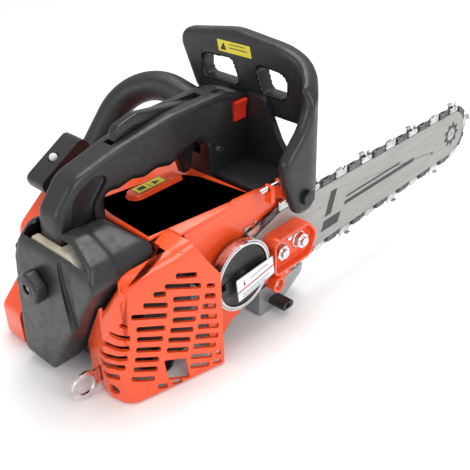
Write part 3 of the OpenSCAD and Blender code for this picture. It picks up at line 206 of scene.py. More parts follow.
# ---- Cylinder -------------------------------------------------------------
# A finned alloy barrel lies along the saw, with the piston inside, the plug in
# its head and a moulded rubber boot over the plug.
barrel_alloy = finish("barrel_alloy", cast_marks, (0.3, 0.31, 0.32), (0.42, 0.43, 0.44), 0.45, 0.65,
                      0.4, Metallic=0.85)
rubber_marks = marks("rubber_marks", 22, 2200, 420)
black_rubber = finish("black_rubber", rubber_marks, (0.012, 0.012, 0.013), (0.024, 0.024, 0.025),
                      0.55, 0.75, 0.25)
zinc = finish("zinc_plate", steel_marks, (0.62, 0.63, 0.64), (0.8, 0.81, 0.82), 0.16, 0.32, 0.04,
              Metallic=1)
keep("engine_cylinder", barrel_alloy, 0.3)
keep("piston", machined)
keep("spark_plug", zinc)
keep("plug_boot", black_rubber, 0.8)
keep("muffler", black_steel, 2.0)

# ---- Muffler cover --------------------------------------------------------
# One injection-moulded shell of glossy orange plastic wraps the rear right
# corner. Slots fan out over it and let the heat of the muffler out; the square
# window lets the exhaust out.
COVER_WALL = 2.6  # wall of the orange mouldings, in mm
SLOT_HALF, SHORT_SLOT_HALF, SLOT_ROUND = 2.55, 2.1, 1.4
SLOT_STEP = 30  # degrees between the points of a slot's round corner
TOOL_IN, WINDOW_IN, TOOL_OUT = -7, -9, 5  # reach of the slot cutters either side of the wall
WRAP_CUTS = range(37, 85, 3)  # mm along the wall: where the cutters bend round the corner


def rounded(corners, step=8):
    """Points of an outline given as (u, v, radius) corners, in mm."""
    outline = []
    for i, (u, v, radius) in enumerate(corners):
        here = Vector((u, v))
        back = (Vector(corners[i - 1][:2]) - here)
        ahead = (Vector(corners[(i + 1) % len(corners)][:2]) - here)
        room = 0.48 * min(back.length, ahead.length)
        back.normalize()
        ahead.normalize()
        half = math.acos(max(-1, min(1, back.dot(ahead)))) / 2
        radius = min(radius, room * math.tan(half))
        if radius < 0.05 or half > 1.56:
            outline.append(here)
            continue
        centre = here + (back + ahead).normalized() * radius / math.sin(half)
        start = here + back * radius / math.tan(half) - centre
        end = here + ahead * radius / math.tan(half) - centre
        first = math.atan2(start.y, start.x)
        bend = (math.atan2(end.y, end.x) - first + 3 * math.pi) % (2 * math.pi) - math.pi
        count = max(2, math.ceil(abs(bend) / math.radians(step)))
        for k in range(count + 1):
            angle = first + bend * k / count
            outline.append(centre + radius * Vector((math.cos(angle), math.sin(angle))))
    return outline


def inset(corners, width):
    """The same corners moved inwards by width, for the hollow of a moulded wall."""
    moved = []
    for i, (u, v, radius) in enumerate(corners):
        here = Vector((u, v))
        before = (here - Vector(corners[i - 1][:2])).normalized()
        after = (Vector(corners[(i + 1) % len(corners)][:2]) - here).normalized()
        n1, n2 = Vector((-before.y, before.x)), Vector((-after.y, after.x))
        there = here + (n1 + n2) * width / (1 + n1.dot(n2))
        bulges = before.x * after.y - before.y * after.x > 0
        moved.append((there.x, there.y, max(0.2, radius + (-width if bulges else width))))
    return moved


def plate(name, outline, axis, low, high):
    """A flat blank: the outline in mm, pulled along an axis from low to high."""
    bpy.ops.object.select_all(action="DESELECT")
    bpy.ops.mesh.primitive_circle_add(vertices=len(outline), fill_type="NGON")
    blank = bpy.context.object
    blank.name = name
    order = {"x": (2, 0, 1), "y": (0, 2, 1), "z": (0, 1, 2)}[axis]
    for vertex, (u, v) in zip(blank.data.vertices, outline):
        place = (u, v, low)
        vertex.co = Vector([place[k] / 1000 for k in order])
    pull = Vector((0, 0, 0))
    pull["xyz".index(axis)] = (high - low) / 1000
    bpy.ops.object.mode_set(mode="EDIT")
    bpy.ops.mesh.select_all(action="SELECT")
    bpy.ops.mesh.extrude_region_move(TRANSFORM_OT_translate={"value": pull})
    bpy.ops.mesh.select_all(action="SELECT")
    bpy.ops.mesh.normals_make_consistent(inside=False)
    bpy.ops.object.mode_set(mode="OBJECT")
    return blank


def disc(radius, u=0.0, v=0.0, sides=48):
    """Points of a round outline, in mm."""
    return [Vector((u + radius * math.cos(2 * math.pi * k / sides),
                    v + radius * math.sin(2 * math.pi * k / sides))) for k in range(sides)]


def apply(piece, kind, **settings):
    """Adds one modifier and applies it."""
    bpy.ops.object.select_all(action="DESELECT")
    piece.select_set(True)
    bpy.context.view_layer.objects.active = piece
    step = piece.modifiers.new(kind.lower(), kind)
    for name, value in settings.items():
        setattr(step, name, value)
    bpy.ops.object.modifier_apply(modifier=step.name)
    return piece


def cut(piece, tool, how="DIFFERENCE", solver="MANIFOLD"):
    """Cuts the tool from the piece, or joins or keeps what both share."""
    apply(piece, "BOOLEAN", object=tool, operation=how, solver=solver)
    bpy.data.objects.remove(tool)
    return piece


def round_edges(piece, width, where=None, segments=4, sharp=30):
    """Rounds the sharp edges whose middle, in mm, passes the test."""
    mesh = piece.data
    sides = {}
    for face in mesh.polygons:
        for key in face.edge_keys:
            sides.setdefault(key, []).append(face.normal.copy())
    for part in (mesh.vertices, mesh.edges, mesh.polygons):
        part.foreach_set("select", [False] * len(part))
    for edge in mesh.edges:
        normals = sides.get(tuple(sorted(edge.vertices)), [])
        if len(normals) == 2 and normals[0].angle(normals[1], 0) > math.radians(sharp):
            middle = (mesh.vertices[edge.vertices[0]].co + mesh.vertices[edge.vertices[1]].co) * 500
            edge.select = where is None or where(*middle)
    bpy.ops.object.select_all(action="DESELECT")
    piece.select_set(True)
    bpy.context.view_layer.objects.active = piece
    bpy.context.tool_settings.mesh_select_mode = (False, True, False)
    bpy.ops.object.mode_set(mode="EDIT")
    bpy.ops.mesh.bevel(offset=width / 1000, offset_type="OFFSET", segments=segments, profile=0.5,
                       clamp_overlap=False)
    bpy.ops.object.mode_set(mode="OBJECT")
    bpy.context.tool_settings.mesh_select_mode = (True, False, False)
    return piece


def join(*parts):
    """Joins separate shells into the first one."""
    bpy.ops.object.select_all(action="DESELECT")
    for part in parts:
        part.select_set(True)
    bpy.context.view_layer.objects.active = parts[0]
    bpy.ops.object.join()
    return parts[0]


def fit(piece, material, slot, body, *nodes, angle=34):
    """Finishes a piece: smooth faces, its material, its body and the CAD nodes it stands for."""
    bpy.ops.object.select_all(action="DESELECT")
    piece.select_set(True)
    bpy.context.view_layer.objects.active = piece
    bpy.ops.object.shade_smooth_by_angle(angle=math.radians(angle))
    if material:
        piece.data.materials.clear()
        piece.data.materials.append(material)
    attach(piece, body)
    if nodes:
        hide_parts(*nodes)
    return piece


moulded_marks = marks("moulded_marks", 9, 1600, 150)
orange = finish("orange_plastic", moulded_marks, (0.80, 0.072, 0.012), (0.88, 0.09, 0.016), 0.24,
                0.36, 0.06, 0.0001,
                Coat_Weight=0.25, Coat_Roughness=0.12)

cover_plan = [(-4, -106, 4), (44, -117, 6), (63, -113, 16), (82, -30.3, 0), (50.3, -30.3, 0),
              (50.3, -70.3, 0),
              (20, -70.3, 0), (20, -92, 0)]
cover_hollow = [(-30, -103.4, 0), (44, -114.4, 4), (61, -110, 14), (79.4, -30, 0), (79.4, -21, 0),
                (-30, -21, 0)]
filter_edge = [(-40, -1, 0), (-6, -1, 0), (8, 30, 10), (62, 115, 6), (50, 133, 0), (-40, 133, 0)]

shell = plate("muffler_cover_shell", rounded(cover_plan), "z", 0, 127)
cut(shell, plate("roof_fall", rounded([(-134, 109, 0), (-66, 122, 12), (-46, 130, 0),
                                       (-134, 130, 0)]), "x", -20, 95))
cut(shell, plate("filter_seat", rounded(filter_edge), "y", -130, -66))
round_edges(shell, 9, lambda x, y, z: z > 90 and x > 45 and y < -31 and (x > 60 or y < -100), 6)
round_edges(shell, 3, lambda x, y, z: z < 1 and y < -31, 3)
cut(shell, plate("hollow", rounded(cover_hollow), "z", -1, 105.5))
cut(shell, plate("seam_cut", rounded([(-52.3, 136, 0), (-52.3, 127, 2), (-42.3, 108, 20),
                                      (-30.3, 90, 8), (-21, 88, 0), (-21, 136, 0)]), "x", 16, 95))
cut(shell, plate("ring_slot", rounded([(26.5, 8, 0), (31.5, 8, 0), (31.5, 23, 0), (26.5, 23, 0)]),
                 "y", -125, -100))

# Each slot is (start, end, height at the start, height at the end); start and end
# are distances along the wall, in mm
slots = [(113.5, 131.2, 103.5, 97.5),
         (104, 134, 98, 86.5), (138.5, 146, 84.5, 81.5),
         (94.4, 104.6, 95, 91.5), (109.7, 132, 84, 76), (136.3, 146, 75.5, 72),
         (85.6, 105.2, 89, 81), (109.2, 130, 75, 67), (134, 146.4, 67, 62),
         (75.4, 103.8, 83, 72), (107.8, 127.5, 65.5, 58), (131.6, 146.4, 58, 52),
         (66, 72, 78, 75.5), (78.2, 101.4, 70.5, 61.5), (105.2, 125, 57, 49),
         (129, 147.5, 49.5, 42.5),
         (56.5, 72.9, 68.5, 65), (77.6, 98.9, 61.5, 52.5), (102.7, 122, 49, 40.5),
         (126, 146.8, 41, 33),
         (47, 71.6, 56, 56), (76.1, 96.4, 52.5, 43.5), (100.8, 119.5, 40, 31.8),
         (123.5, 144, 32.5, 24.5),
         (39.5, 69.1, 42, 47.2), (74.2, 93.8, 43.8, 34.8), (121, 140, 23.3, 15.5),
         (143.5, 148.5, 16.5, 14),
         (39.2, 66.6, 32, 38.2), (72.3, 91.9, 35.2, 26.2), (119.5, 137, 14.3, 7.5),
         (140.7, 148.5, 8, 5.5),
         (41.2, 61, 21.5, 27), (69.7, 88.7, 26.6, 18), (90, 99, 9, 5), (103, 112, 6.5, 3)]
wall_line = rounded([(-4, -106, 0)] + cover_plan[1:3] + [(82, -30.3, 0), (0, -30.3, 0)])[:-1]
stations = [0.0]
for a, b in zip(wall_line, wall_line[1:]):
    stations.append(stations[-1] + (b - a).length)


def on_wall(along, out, height):
    """The point of the wall at a distance along it, out from its face, in mm."""
    along = min(max(along, 0.01), stations[-1] - 0.01)
    k = max(i for i, s in enumerate(stations) if s <= along)
    a, b = wall_line[k], wall_line[k + 1]
    way = (b - a).normalized()
    spot = a + way * (along - stations[k]) + Vector((way.y, -way.x)) * out
    return Vector((spot.x, spot.y, height)) / 1000


tools = []
for k, (start, end, z0, z1) in enumerate(slots):
    half = SLOT_HALF if end - start > 8 else SHORT_SLOT_HALF
    corners = [(start, z0 - half), (end, z1 - half), (end, z1 + half), (start, z0 + half)]
    outline = rounded([(u, v, SLOT_ROUND) for u, v in corners], SLOT_STEP)
    tools.append(plate(f"slot_{k}", outline, "y", TOOL_IN, TOOL_OUT))
window = rounded([(100.2, 10.5, 1.2), (119, 2.8, 1.2), (116.5, 24.5, 1.2), (97.5, 31.5, 1.2)],
                 SLOT_STEP)
tools.append(plate("window", window, "y", WINDOW_IN, TOOL_OUT))
oval = [(5.8 * math.cos(2 * math.pi * k / 24),
         4.3 * math.sin(2 * math.pi * k / 24)) for k in range(24)]
oval_hole = [Vector((53 + u, 11.5 + v)) for u, v in oval]
tools.append(plate("round_hole", oval_hole, "y", TOOL_IN, TOOL_OUT))
tools = join(*tools)
bpy.ops.object.mode_set(mode="EDIT")
for k in WRAP_CUTS:
    bpy.ops.mesh.select_all(action="SELECT")
    bpy.ops.mesh.bisect(plane_co=(k / 1000, 0, 0), plane_no=(1, 0, 0))
bpy.ops.object.mode_set(mode="OBJECT")
for vertex in tools.data.vertices:
    along, out, height = vertex.co * 1000
    vertex.co = on_wall(along, out, height)
bpy.ops.object.mode_set(mode="EDIT")
bpy.ops.mesh.select_all(action="SELECT")
bpy.ops.mesh.normals_make_consistent(inside=False)
bpy.ops.object.mode_set(mode="OBJECT")
cut(shell, tools)
fit(shell, orange, "orange_plastic", "engine", "muffler_cover")

# ---- Intake ---------------------------------------------------------------
# A small carburettor sits behind the barrel on a rubber manifold. Its felt
# filter stands on a black base plate; a choke lever and a primer bulb reach
# out through the left side.
satin_black = finish("satin_black_plastic", moulded_marks, (0.011, 0.011, 0.012),
                     (0.02, 0.02, 0.021), 0.34, 0.5, 0.16, 0.0001)
felt_marks = marks("felt_marks", 60, 700, 500)
felt = finish("filter_felt", felt_marks, (0.42, 0.38, 0.28), (0.6, 0.56, 0.45), 0.85, 0.95, 0.9,
              0.0006)
bulb_rubber = finish("bulb_rubber", rubber_marks, (0.5, 0.42, 0.3), (0.6, 0.52, 0.4), 0.3, 0.45,
                     0.1, Transmission_Weight=0.2)
keep("intake_manifold", black_rubber, 1)
keep("carburettor", cast_alloy, 0.8)
keep("throttle_butterfly", machined)
keep("choke_lever", satin_black, 0.8)
keep("primer_bulb", bulb_rubber, 0.4)
keep("filter_base", satin_black, 0.8)
keep("air_filter", felt, 1.5)


# ---- Filter cover ---------------------------------------------------------
# A tall moulded shell closes the rear. Its face leans in, a sunken band
# runs down its right side, and a wing covers the corner.
def soften(piece, voxel, passes):
    """Rounds a whole solid the way a moulding is rounded: even skin, then smoothing."""
    apply(piece, "REMESH", mode="VOXEL", voxel_size=voxel / 1000, use_smooth_shade=True)
    apply(piece, "SMOOTH", factor=0.5, iterations=passes)
    return piece


filter_outline = [(-48, 8, 6), (-8, 8, 6), (6, 31, 10), (60, 115, 8), (54, 130, 8), (30, 141, 10),
                  (-22, 141, 14), (-38, 105, 20)]
shell = plate("filter_cover_shell", rounded(filter_outline), "y", -132, -105.5)
cut(shell, plate("lean", rounded([(-133, 64, 0), (-132, 66, 0), (-129.5, 121, 14), (-119, 142, 0),
                                  (-119, 150, 0), (-133, 150, 0)]), "x", -60, 80))
cut(shell, plate("wing", rounded([(15.8, 92, 0), (42, 92, 2), (59, 114, 9), (53, 129, 12),
                                  (30, 139.5, 12), (15.8, 140, 2)]), "y", -112, -71), "UNION")
cut(shell, plate("wing_slope", rounded([(-100, 143, 0), (-86, 139, 14), (-69, 124, 0),
                                        (-69, 145, 0)]), "x", 10, 80))
cut(shell, plate("handle_room", rounded([(-15.6, 108, 0), (15.6, 108, 0), (15.6, 150, 0),
                                         (-15.6, 150, 0)]), "y", -121, -60))
soften(shell, 1.3, 14)
# the hollow and the sunken band are cut crisp after the skin is smooth
cut(shell, plate("hollow", rounded(inset(filter_outline, 3.4)), "y", -126.4, -90))
cut(shell, plate("wing_hollow", rounded([(18, 80, 0), (40, 80, 0), (55.4, 114, 6), (50, 126, 6),
                                         (29, 133, 8), (18, 133, 0)]), "y", -108, -60))
band = plate("band", rounded([(18.5, 136, 3), (31, 136, 5), (33.5, 124, 0), (37, 96, 0),
                              (37.5, 64, 3), (27.5, 64, 3), (21, 100, 0)]), "y", -140, -127.6)
round_edges(band, 1.2, lambda x, y, z: y > -130, 3)
cut(shell, band)
fit(shell, satin_black, "black_plastic", "engine", "filter_cover")

# A black hand screw with soft lobes holds the shell; its screw is plated.
KNOB_X, KNOB_Z = -8, 93
KNOB_LOBE, KNOB_VALLEY = 14.6, 11.6  # radii, in mm
KNOB_TIP = -142  # Y of the outer end of the knob
lobes = []
for k in range(10):
    reach, angle = (KNOB_VALLEY if k % 2 else KNOB_LOBE), math.radians(90 + 36 * k)
    lobes.append((KNOB_X + reach * math.cos(angle), KNOB_Z + reach * math.sin(angle), 5))
knob = plate("filter_knob_grip", rounded(lobes), "y", -141.8, -132.6)
round_edges(knob, 2.6, lambda x, y, z: y < -141, 4)
hub = plate("hub", disc(8, KNOB_X, KNOB_Z), "y", KNOB_TIP, -139.5)
round_edges(hub, 1, lambda x, y, z: y < -141, 3)
cut(knob, hub, "UNION")
cut(knob, plate("screw_seat", disc(4.2, KNOB_X, KNOB_Z), "y", -143, -139))
screw = plate("screw_head", disc(3.4, KNOB_X, KNOB_Z, 24), "y", -140.6, -139)
round_edges(screw, 0.6, lambda x, y, z: y < -140, 2)
fit(knob, satin_black, "black_plastic", "knob", "filter_knob")
fit(screw, zinc, "zinc_steel", "knob")


# ---- Top cover ------------------------------------------------------------
# An orange cover closes the engine from above. A ridge runs under the handle,
# a pocket is sunk beside it, and cooling air leaves by a long lens-shaped slot.
LID_TOP, RIDGE_TOP, POCKET_FLOOR = 126.8, 131, 113.3  # heights, in mm
HOLLOW_LOW, HOLLOW_TOP = 108, 124.2
top_plan = [(-38, -70, 10), (49.9, -70, 2), (49.9, -50.6, 0), (61.9, -50.6, 0), (61.9, 27.4, 4),
            (-38, 27.4, 10)]
lid = plate("top_cover_lid", rounded(top_plan), "z", 110.2, LID_TOP)
round_edges(lid, 2.4, lambda x, y, z: z > 120 and (x < -20 or y < -60), 4)
cut(lid, plate("hollow", rounded(inset(top_plan, COVER_WALL)), "z", HOLLOW_LOW, HOLLOW_TOP))
cut(lid, plate("head_side", rounded([(-50, -80, 0), (70, -80, 0), (70, -48, 0), (-50, -48, 0)]),
               "z", HOLLOW_LOW, HOLLOW_TOP))
cut(lid, plate("clutch_side", rounded([(45, -53, 0), (70, -53, 0), (70, -20, 0), (45, -20, 0)]),
               "z", HOLLOW_LOW, HOLLOW_TOP))
tub = plate("tub", rounded([(2.5, -29.5, 8), (48.5, -29.5, 8), (48.5, 22.5, 8), (2.5, 22.5, 8)]),
            "z", 110.6, 126)
cut(lid, tub, "UNION")
ridge = plate("ridge", rounded([(-12.5, -42, 7), (2.2, -42, 7), (2.2, 9, 2), (-12.5, 9, 2)]), "z",
              125, RIDGE_TOP)
round_edges(ridge, 1.8, lambda x, y, z: z > 130, 4)
cut(lid, ridge, "UNION")
pocket = plate("pocket", rounded([(5, -27, 6), (46, -27, 6), (46, 20, 6), (5, 20, 6)]), "z",
               POCKET_FLOOR, RIDGE_TOP)
round_edges(pocket, 3, lambda x, y, z: z < 114, 4)
cut(lid, pocket)
lens = plate("lens_slot", rounded([(-1.5, -65.6, 1), (14, -63.5, 20), (30, -59.6, 16),
                                   (46.5, -52.4, 1), (30, -53.8, 22), (10, -58.6, 20)]), "z",
             HOLLOW_LOW, RIDGE_TOP)
cut(lid, lens)
cut(lid, plate("screw_well", disc(3.2, -20, -58, 24), "z", 118, RIDGE_TOP))
round_edges(lid, 0.7, lambda x, y, z: z > 124, 2, 40)
fit(lid, orange, "orange_plastic", "engine", "top_cover")


def sticker(name, corners, axis, face, out, paper, ink, body, marks_on=()):
    """A thin plain label: a dark edge, the paper on it, and bars with no lettering."""
    layers = [(corners, 0.12, ink), (inset(corners, 0.7), 0.18, paper)]
    layers += [(bar, 0.22, tint) for bar, tint in marks_on]
    parts = []
    for k, (outline, height, tint) in enumerate(layers):
        low, high = sorted((face - 0.05 * out, face + height * out))
        part = plate(f"{name}_{k}", rounded(outline), axis, low, high)
        part.data.materials.append(tint)
        parts.append(part)
    label = join(*parts)
    label.name = name
    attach(label, body)
    return label


ink = finish("black_ink", moulded_marks, (0.012, 0.012, 0.012), (0.03, 0.03, 0.03), 0.4, 0.55, 0.02)
yellow_paper = finish("yellow_label", moulded_marks, (0.72, 0.62, 0.03), (0.82, 0.72, 0.05), 0.32,
                      0.5, 0.03)
white_paper = finish("white_label", moulded_marks, (0.72, 0.73, 0.76), (0.84, 0.85, 0.86), 0.3, 0.5,
                     0.03)
grey_ink = finish("grey_ink", moulded_marks, (0.2, 0.22, 0.28), (0.3, 0.32, 0.38), 0.4, 0.55, 0.02)
red_ink = finish("red_ink", moulded_marks, (0.35, 0.02, 0.02), (0.45, 0.03, 0.03), 0.4, 0.55, 0.02)
sticker("ridge_label", [(-10.5, -36, 0.8), (0.4, -36, 0.8), (0.4, -6, 0.8), (-10.5, -6, 0.8)], "z",
        RIDGE_TOP, 1, yellow_paper, ink, "engine",
        [([(-9, -21.6, 0), (-1.2, -21.6, 0), (-1.2, -21, 0), (-9, -21, 0)], ink),
         ([(-8, -32, 0.5), (-3, -32, 0.5), (-3, -25, 0.5), (-8, -25, 0.5)], ink),
         ([(-8, -17, 0.5), (-2, -17, 0.5), (-5, -10, 0.5)], ink)])
sticker("pocket_label", [(9, -24, 1), (31, -24, 1), (31, -2, 1), (9, -2, 1)], "z", POCKET_FLOOR, 1,
        white_paper, grey_ink, "engine",
        [([(12, y, 0), (28 - (y % 3), y, 0), (28 - (y % 3), y + 0.8, 0), (12, y + 0.8, 0)],
          grey_ink) for y in (-20, -17, -14, -8, -5)])
sticker("heat_label", [(63, -62, 0.6), (75, -61, 0.6), (66, -50, 0.6)], "z", 121, 1, yellow_paper,
        ink, "engine")


# ---- Top handle -----------------------------------------------------------
# One black moulding: a rear post, a grip with finger waves, and the front block
# that carries trigger, lockout and stop switch. Every edge is well rounded.
GRIP_HALF, SLOT_WIDE, LEVER_HALF, PIN_HALF = 15, 4.6, 4, 7.6  # half widths, in mm
TRIGGER_PIN, TRIGGER_PIN_R = (26, 162), 2
LOCKOUT_PIN, LOCKOUT_PIN_R = (24, 186.5), 1.5
PIN_ROOM = 0.05
handle_outline = [(-120, 111, 4), (-76, 111, 4), (-76, 152, 14), (-62, 150, 4), (-50, 153, 6),
                  (-38, 150, 6), (-26, 153, 6),
                  (-12, 150, 6), (-2, 155, 6), (20, 161, 10), (28, 152, 8), (28, 118, 0),
                  (92, 118, 4), (92, 150, 6),
                  (78.2, 163, 4), (78.2, 182, 6), (50, 193, 16), (-8, 192, 60), (-56, 184, 40),
                  (-100, 173, 22), (-120, 150, 20)]
grip = plate("top_handle_grip", rounded(handle_outline), "x", -GRIP_HALF, GRIP_HALF)
# the rear post and the grip narrow towards the rear
cut(grip, plate("plan", rounded([(-12.4, -122, 6), (12.4, -122, 6), (13.2, -70, 0), (15, -10, 0),
                                 (15, 94, 0), (-15, 94, 0), (-15, -10, 0), (-13.2, -70, 0)]), "z",
                100, 200), "INTERSECT")
round_edges(grip, 5, lambda x, y, z: abs(x) > 9 and (y < 27 or z > 165) and not (y > 76), 4)
round_edges(grip, 1.5, lambda x, y, z: y > 77, 2, 50)
soften(grip, 1.35, 6)
for side in (-1, 1):
    channel = plate("channel", rounded([(-113, 121, 5), (-88, 121, 5), (-87, 148, 14),
                                        (-70, 166, 8), (-84, 171, 10), (-104, 160, 16)]), "x",
                    *sorted((side * 9.2, side * 20)))
    round_edges(channel, 1.6, lambda x, y, z: abs(x) < 10, 3)
    cut(grip, channel)
cut(grip, plate("trigger_slot", rounded([(-24, 143, 0), (37, 143, 0), (37, 181.5, 0),
                                         (-24, 181.5, 0)]), "x", -SLOT_WIDE, SLOT_WIDE))
cut(grip, plate("lever_slot", rounded([(-60, 172, 0), (-24, 172, 0), (-24, 200, 0), (-60, 200, 0)]),
                "x", -SLOT_WIDE, SLOT_WIDE))
cut(grip, plate("pivot_slot", rounded([(-30, 181, 0), (33, 181, 0), (33, 200, 0), (-30, 200, 0)]),
                "x", -SLOT_WIDE, SLOT_WIDE))
cut(grip, plate("switch_recess", rounded([(56, 163, 1), (72, 163, 1), (72, 183, 1), (56, 183, 1)]),
                "x", 8, 20))
for x0, x1 in ((5, 12), (-12, 3)):
    cut(grip, plate("top_recess", rounded([(x0, 41, 1), (x1, 41, 1), (x1, 53, 1), (x0, 53, 1)]),
                    "z", 191.2, 200))
fit(grip, satin_black, "black_plastic", "engine", "top_handle")
pin = plate("trigger_pin", disc(TRIGGER_PIN_R, *TRIGGER_PIN, 24), "x", -PIN_HALF, PIN_HALF)
lockout_pin = plate("lockout_pin", disc(LOCKOUT_PIN_R, *LOCKOUT_PIN, 24), "x", -PIN_HALF, PIN_HALF)
fit(join(pin, lockout_pin), zinc, "zinc_steel", "engine")

# The base under the front block is a flat black moulding with a tall wing
# that shields the hand on the right.
keep("handle_base", satin_black, 1.2)

# The throttle trigger hangs under the grip; the lockout fin rises over it.
# Both are glossy black nylon and turn on plain pins.
glossy_black = finish("glossy_black_nylon", moulded_marks, (0.010, 0.010, 0.011),
                      (0.018, 0.018, 0.019), 0.2, 0.34, 0.06)
blade_side = [(9, 132, 2), (17, 132, 3), (21, 150, 12), (33, 159, 4), (31, 167, 4),
              (-14, 163, 3), (-14, 157, 2), (3, 153, 8)]
lever = plate("throttle_trigger_blade", rounded(blade_side), "x", -LEVER_HALF, LEVER_HALF)
round_edges(lever, 1.6, segments=4)
cut(lever, plate("bore", disc(TRIGGER_PIN_R + PIN_ROOM, *TRIGGER_PIN, 32), "x", -6, 6))
fit(lever, glossy_black, "black_plastic", "trigger", "throttle_trigger")
fin_side = [(-57, 182, 2), (-24, 188, 8), (22, 183, 3), (29, 184, 3), (29, 190, 3),
            (-34, 199, 14), (-54, 194, 8)]
fin = plate("trigger_lockout_fin", rounded(fin_side), "x", -LEVER_HALF, LEVER_HALF)
round_edges(fin, 1.6, segments=4)
cut(fin, plate("bore", disc(LOCKOUT_PIN_R + PIN_ROOM, *LOCKOUT_PIN, 32), "x", -6, 6))
fit(fin, glossy_black, "black_plastic", "lockout", "trigger_lockout")

# A red rocker stops the engine. It lies in a recess in the right side.
red = finish("red_plastic", moulded_marks, (0.62, 0.03, 0.015), (0.72, 0.045, 0.02), 0.28, 0.42,
             0.05)
keep("stop_switch", red, 0.5)

# ---- Hand guard -----------------------------------------------------------
# One thick black moulding with two windows. Its right end sweeps down into an
# arm that turns on a bolt and works the chain brake.
GUARD_PIVOT = (58, 122)  # Y and Z of the bolt the guard turns on
guard_plan = [(-84, 79, 0), (66, 79, 14), (80, 66, 14), (80, 28, 0), (92, 28, 0), (92, 70, 26),
              (72, 94, 26), (-84, 94, 0)]
plate_side = [(-50, 167, 16), (70, 167, 10), (79, 150, 10), (79, 100, 0), (96, 100, 0),
              (96, 200, 40), (56, 227, 60), (-6, 232, 60), (-74, 220, 12)]
arm_side = [(50, 107, 7), (66, 107, 8), (94, 126, 10), (98, 152, 24), (98, 240, 0), (60, 240, 0),
            (64, 196, 30), (54, 178, 20), (32, 156, 12), (37, 138, 14)]
guard = plate("hand_guard_moulding", rounded(guard_plan), "z", 100, 236)
cut(guard, plate("outline", rounded(plate_side), "y", 20, 100), "INTERSECT")
arm_tool = plate("arm_side", rounded(arm_side), "x", 40, 100)
cut(arm_tool,
    plate("plate_zone", rounded([(70, 160, 0), (120, 160, 0), (120, 250, 0), (70, 250, 0)]), "x",
          -90, 110), "UNION")
cut(guard, arm_tool, "INTERSECT")
round_edges(guard, 4.5, None, 4, 50)
soften(guard, 1.5, 6)
for corners in ([(-42, 186, 6), (2, 186, 5), (-7, 207, 6), (-41, 205, 7)],
                [(27, 186, 5), (54, 186, 8), (52, 206, 10), (19, 208, 5)]):
    cut(guard, plate("window", rounded(corners), "y", 70, 110))
round_edges(guard, 1.6, lambda x, y, z: 184 < z < 210 and -45 < x < 57, 3, 60)
cut(guard, plate("pivot_hole", disc(4.05, *GUARD_PIVOT, 32), "x", 70, 100))
fit(guard, satin_black, "black_plastic", "guard", "hand_guard")
sticker("guard_label", [(-21.5, 210.5, 0.8), (17, 211.5, 0.8), (14.5, 222.5, 0.8),
                        (-23.5, 221.5, 0.8)], "y", 79, -1, yellow_paper, ink, "guard",
        [([(-19, 213, 0.4), (-12, 213.2, 0.4), (-15.5, 219.5, 0.4)], ink),
         ([(-9, 215.5, 0), (11, 216, 0), (11, 216.8, 0), (-9, 216.3, 0)], ink),
         ([(-9, 218.5, 0), (9, 219, 0), (9, 219.7, 0), (-9, 219.2, 0)], ink)])
keep("guard_pivot", black_steel, 0.8)

# ---- Clutch and chain brake -----------------------------------------------
# Two shoes on a hub fling out into the drum. A spring steel band round the drum
# is pulled tight by a link from the guard. A worm-driven pump oils the bar.
keep("clutch_hub", black_steel, 0.4)
keep("clutch_shoes", black_steel, 0.4)
keep("clutch_drum", machined, 0.4)
keep("brake_band", machined)
keep("brake_link", zinc, 0.3)
keep("oil_pump", satin_black, 0.8)

# ---- Clutch cover ---------------------------------------------------------
# A glossy orange shell hides the clutch and clamps the bar. Two flanged nuts
# sit in a sunken pocket; a soft crease runs along the upper edge.
COVER_OUT, COVER_INNER = 82, 77  # X of the outer face and of the hollow behind it
STUDS_Y, STUD_HOLE_R = (45, 70), 4.3
TENSIONER, COVER_SCREW = (57, 79), (39, 41)  # Y and Z
link_low, link_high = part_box("brake_link")
LINK_X, LINK_Z = (link_low.x + link_high.x) * 500, (link_low.z + link_high.z) * 500
GUIDE_HALF = 3.4
cover_side = [(-30, 0, 2), (-16, 0, 10), (2, 16, 16), (62, 20, 30), (84, 25, 12), (92, 40, 14),
              (100, 119, 3), (58, 129, 20), (6, 133, 6), (-4, 127.5, 6), (-52, 127, 2),
              (-42, 108, 20), (-30, 90, 8)]
pocket_side = [(36, 53, 4), (80, 53, 8), (86, 71, 6), (77, 83, 8), (36, 83, 6)]
shell = plate("clutch_cover_shell", rounded(cover_side), "x", 62.2, COVER_OUT)
cut(shell, plate("slope", rounded([(79.5, 105, 16), (84, 97, 0), (90, 97, 0), (90, 145, 0),
                                   (74, 145, 0), (75, 127, 0)]), "y", -90, 110))
round_edges(shell, 2.4, lambda x, y, z: x > 73 and not (y < -27 and z < 112), 4, 50)
cut(shell, plate("hollow", rounded(inset(cover_side, 3)), "x", 60, COVER_INNER), solver="EXACT")
cut(shell, plate("bar_way", rounded([(60, 32, 0), (110, 32, 0), (110, 109, 0), (60, 109, 0)]), "x",
                 60, 78.4))
cut(shell, plate("chip_way", rounded([(10, -2, 0), (60, -2, 0), (60, 32, 0), (10, 32, 0)]), "x", 60,
                 78.4))
cut(shell, plate("seat", rounded(inset(pocket_side, -2.6)), "x", 66.1, 80.6), "UNION")
cut(shell, plate("pivot_boss", disc(8, *GUARD_PIVOT), "x", 66, 79.5), "UNION")
cut(shell, plate("screw_boss", disc(7.1, *COVER_SCREW), "x", 73, 81), "UNION")
for y in (30, 42):
    guide_side = [(y, 123, 0), (y + 4, 123, 0), (y + 4, 138, 1.5), (y, 138, 1.5)]
    guide = plate("link_guide", rounded(guide_side), "x", LINK_X - GUIDE_HALF, LINK_X + GUIDE_HALF)
    cut(shell, guide, "UNION")
pocket = plate("nut_pocket", rounded(pocket_side), "x", 74, 90)
round_edges(pocket, 2, lambda x, y, z: x < 75, 4)
cut(shell, pocket)
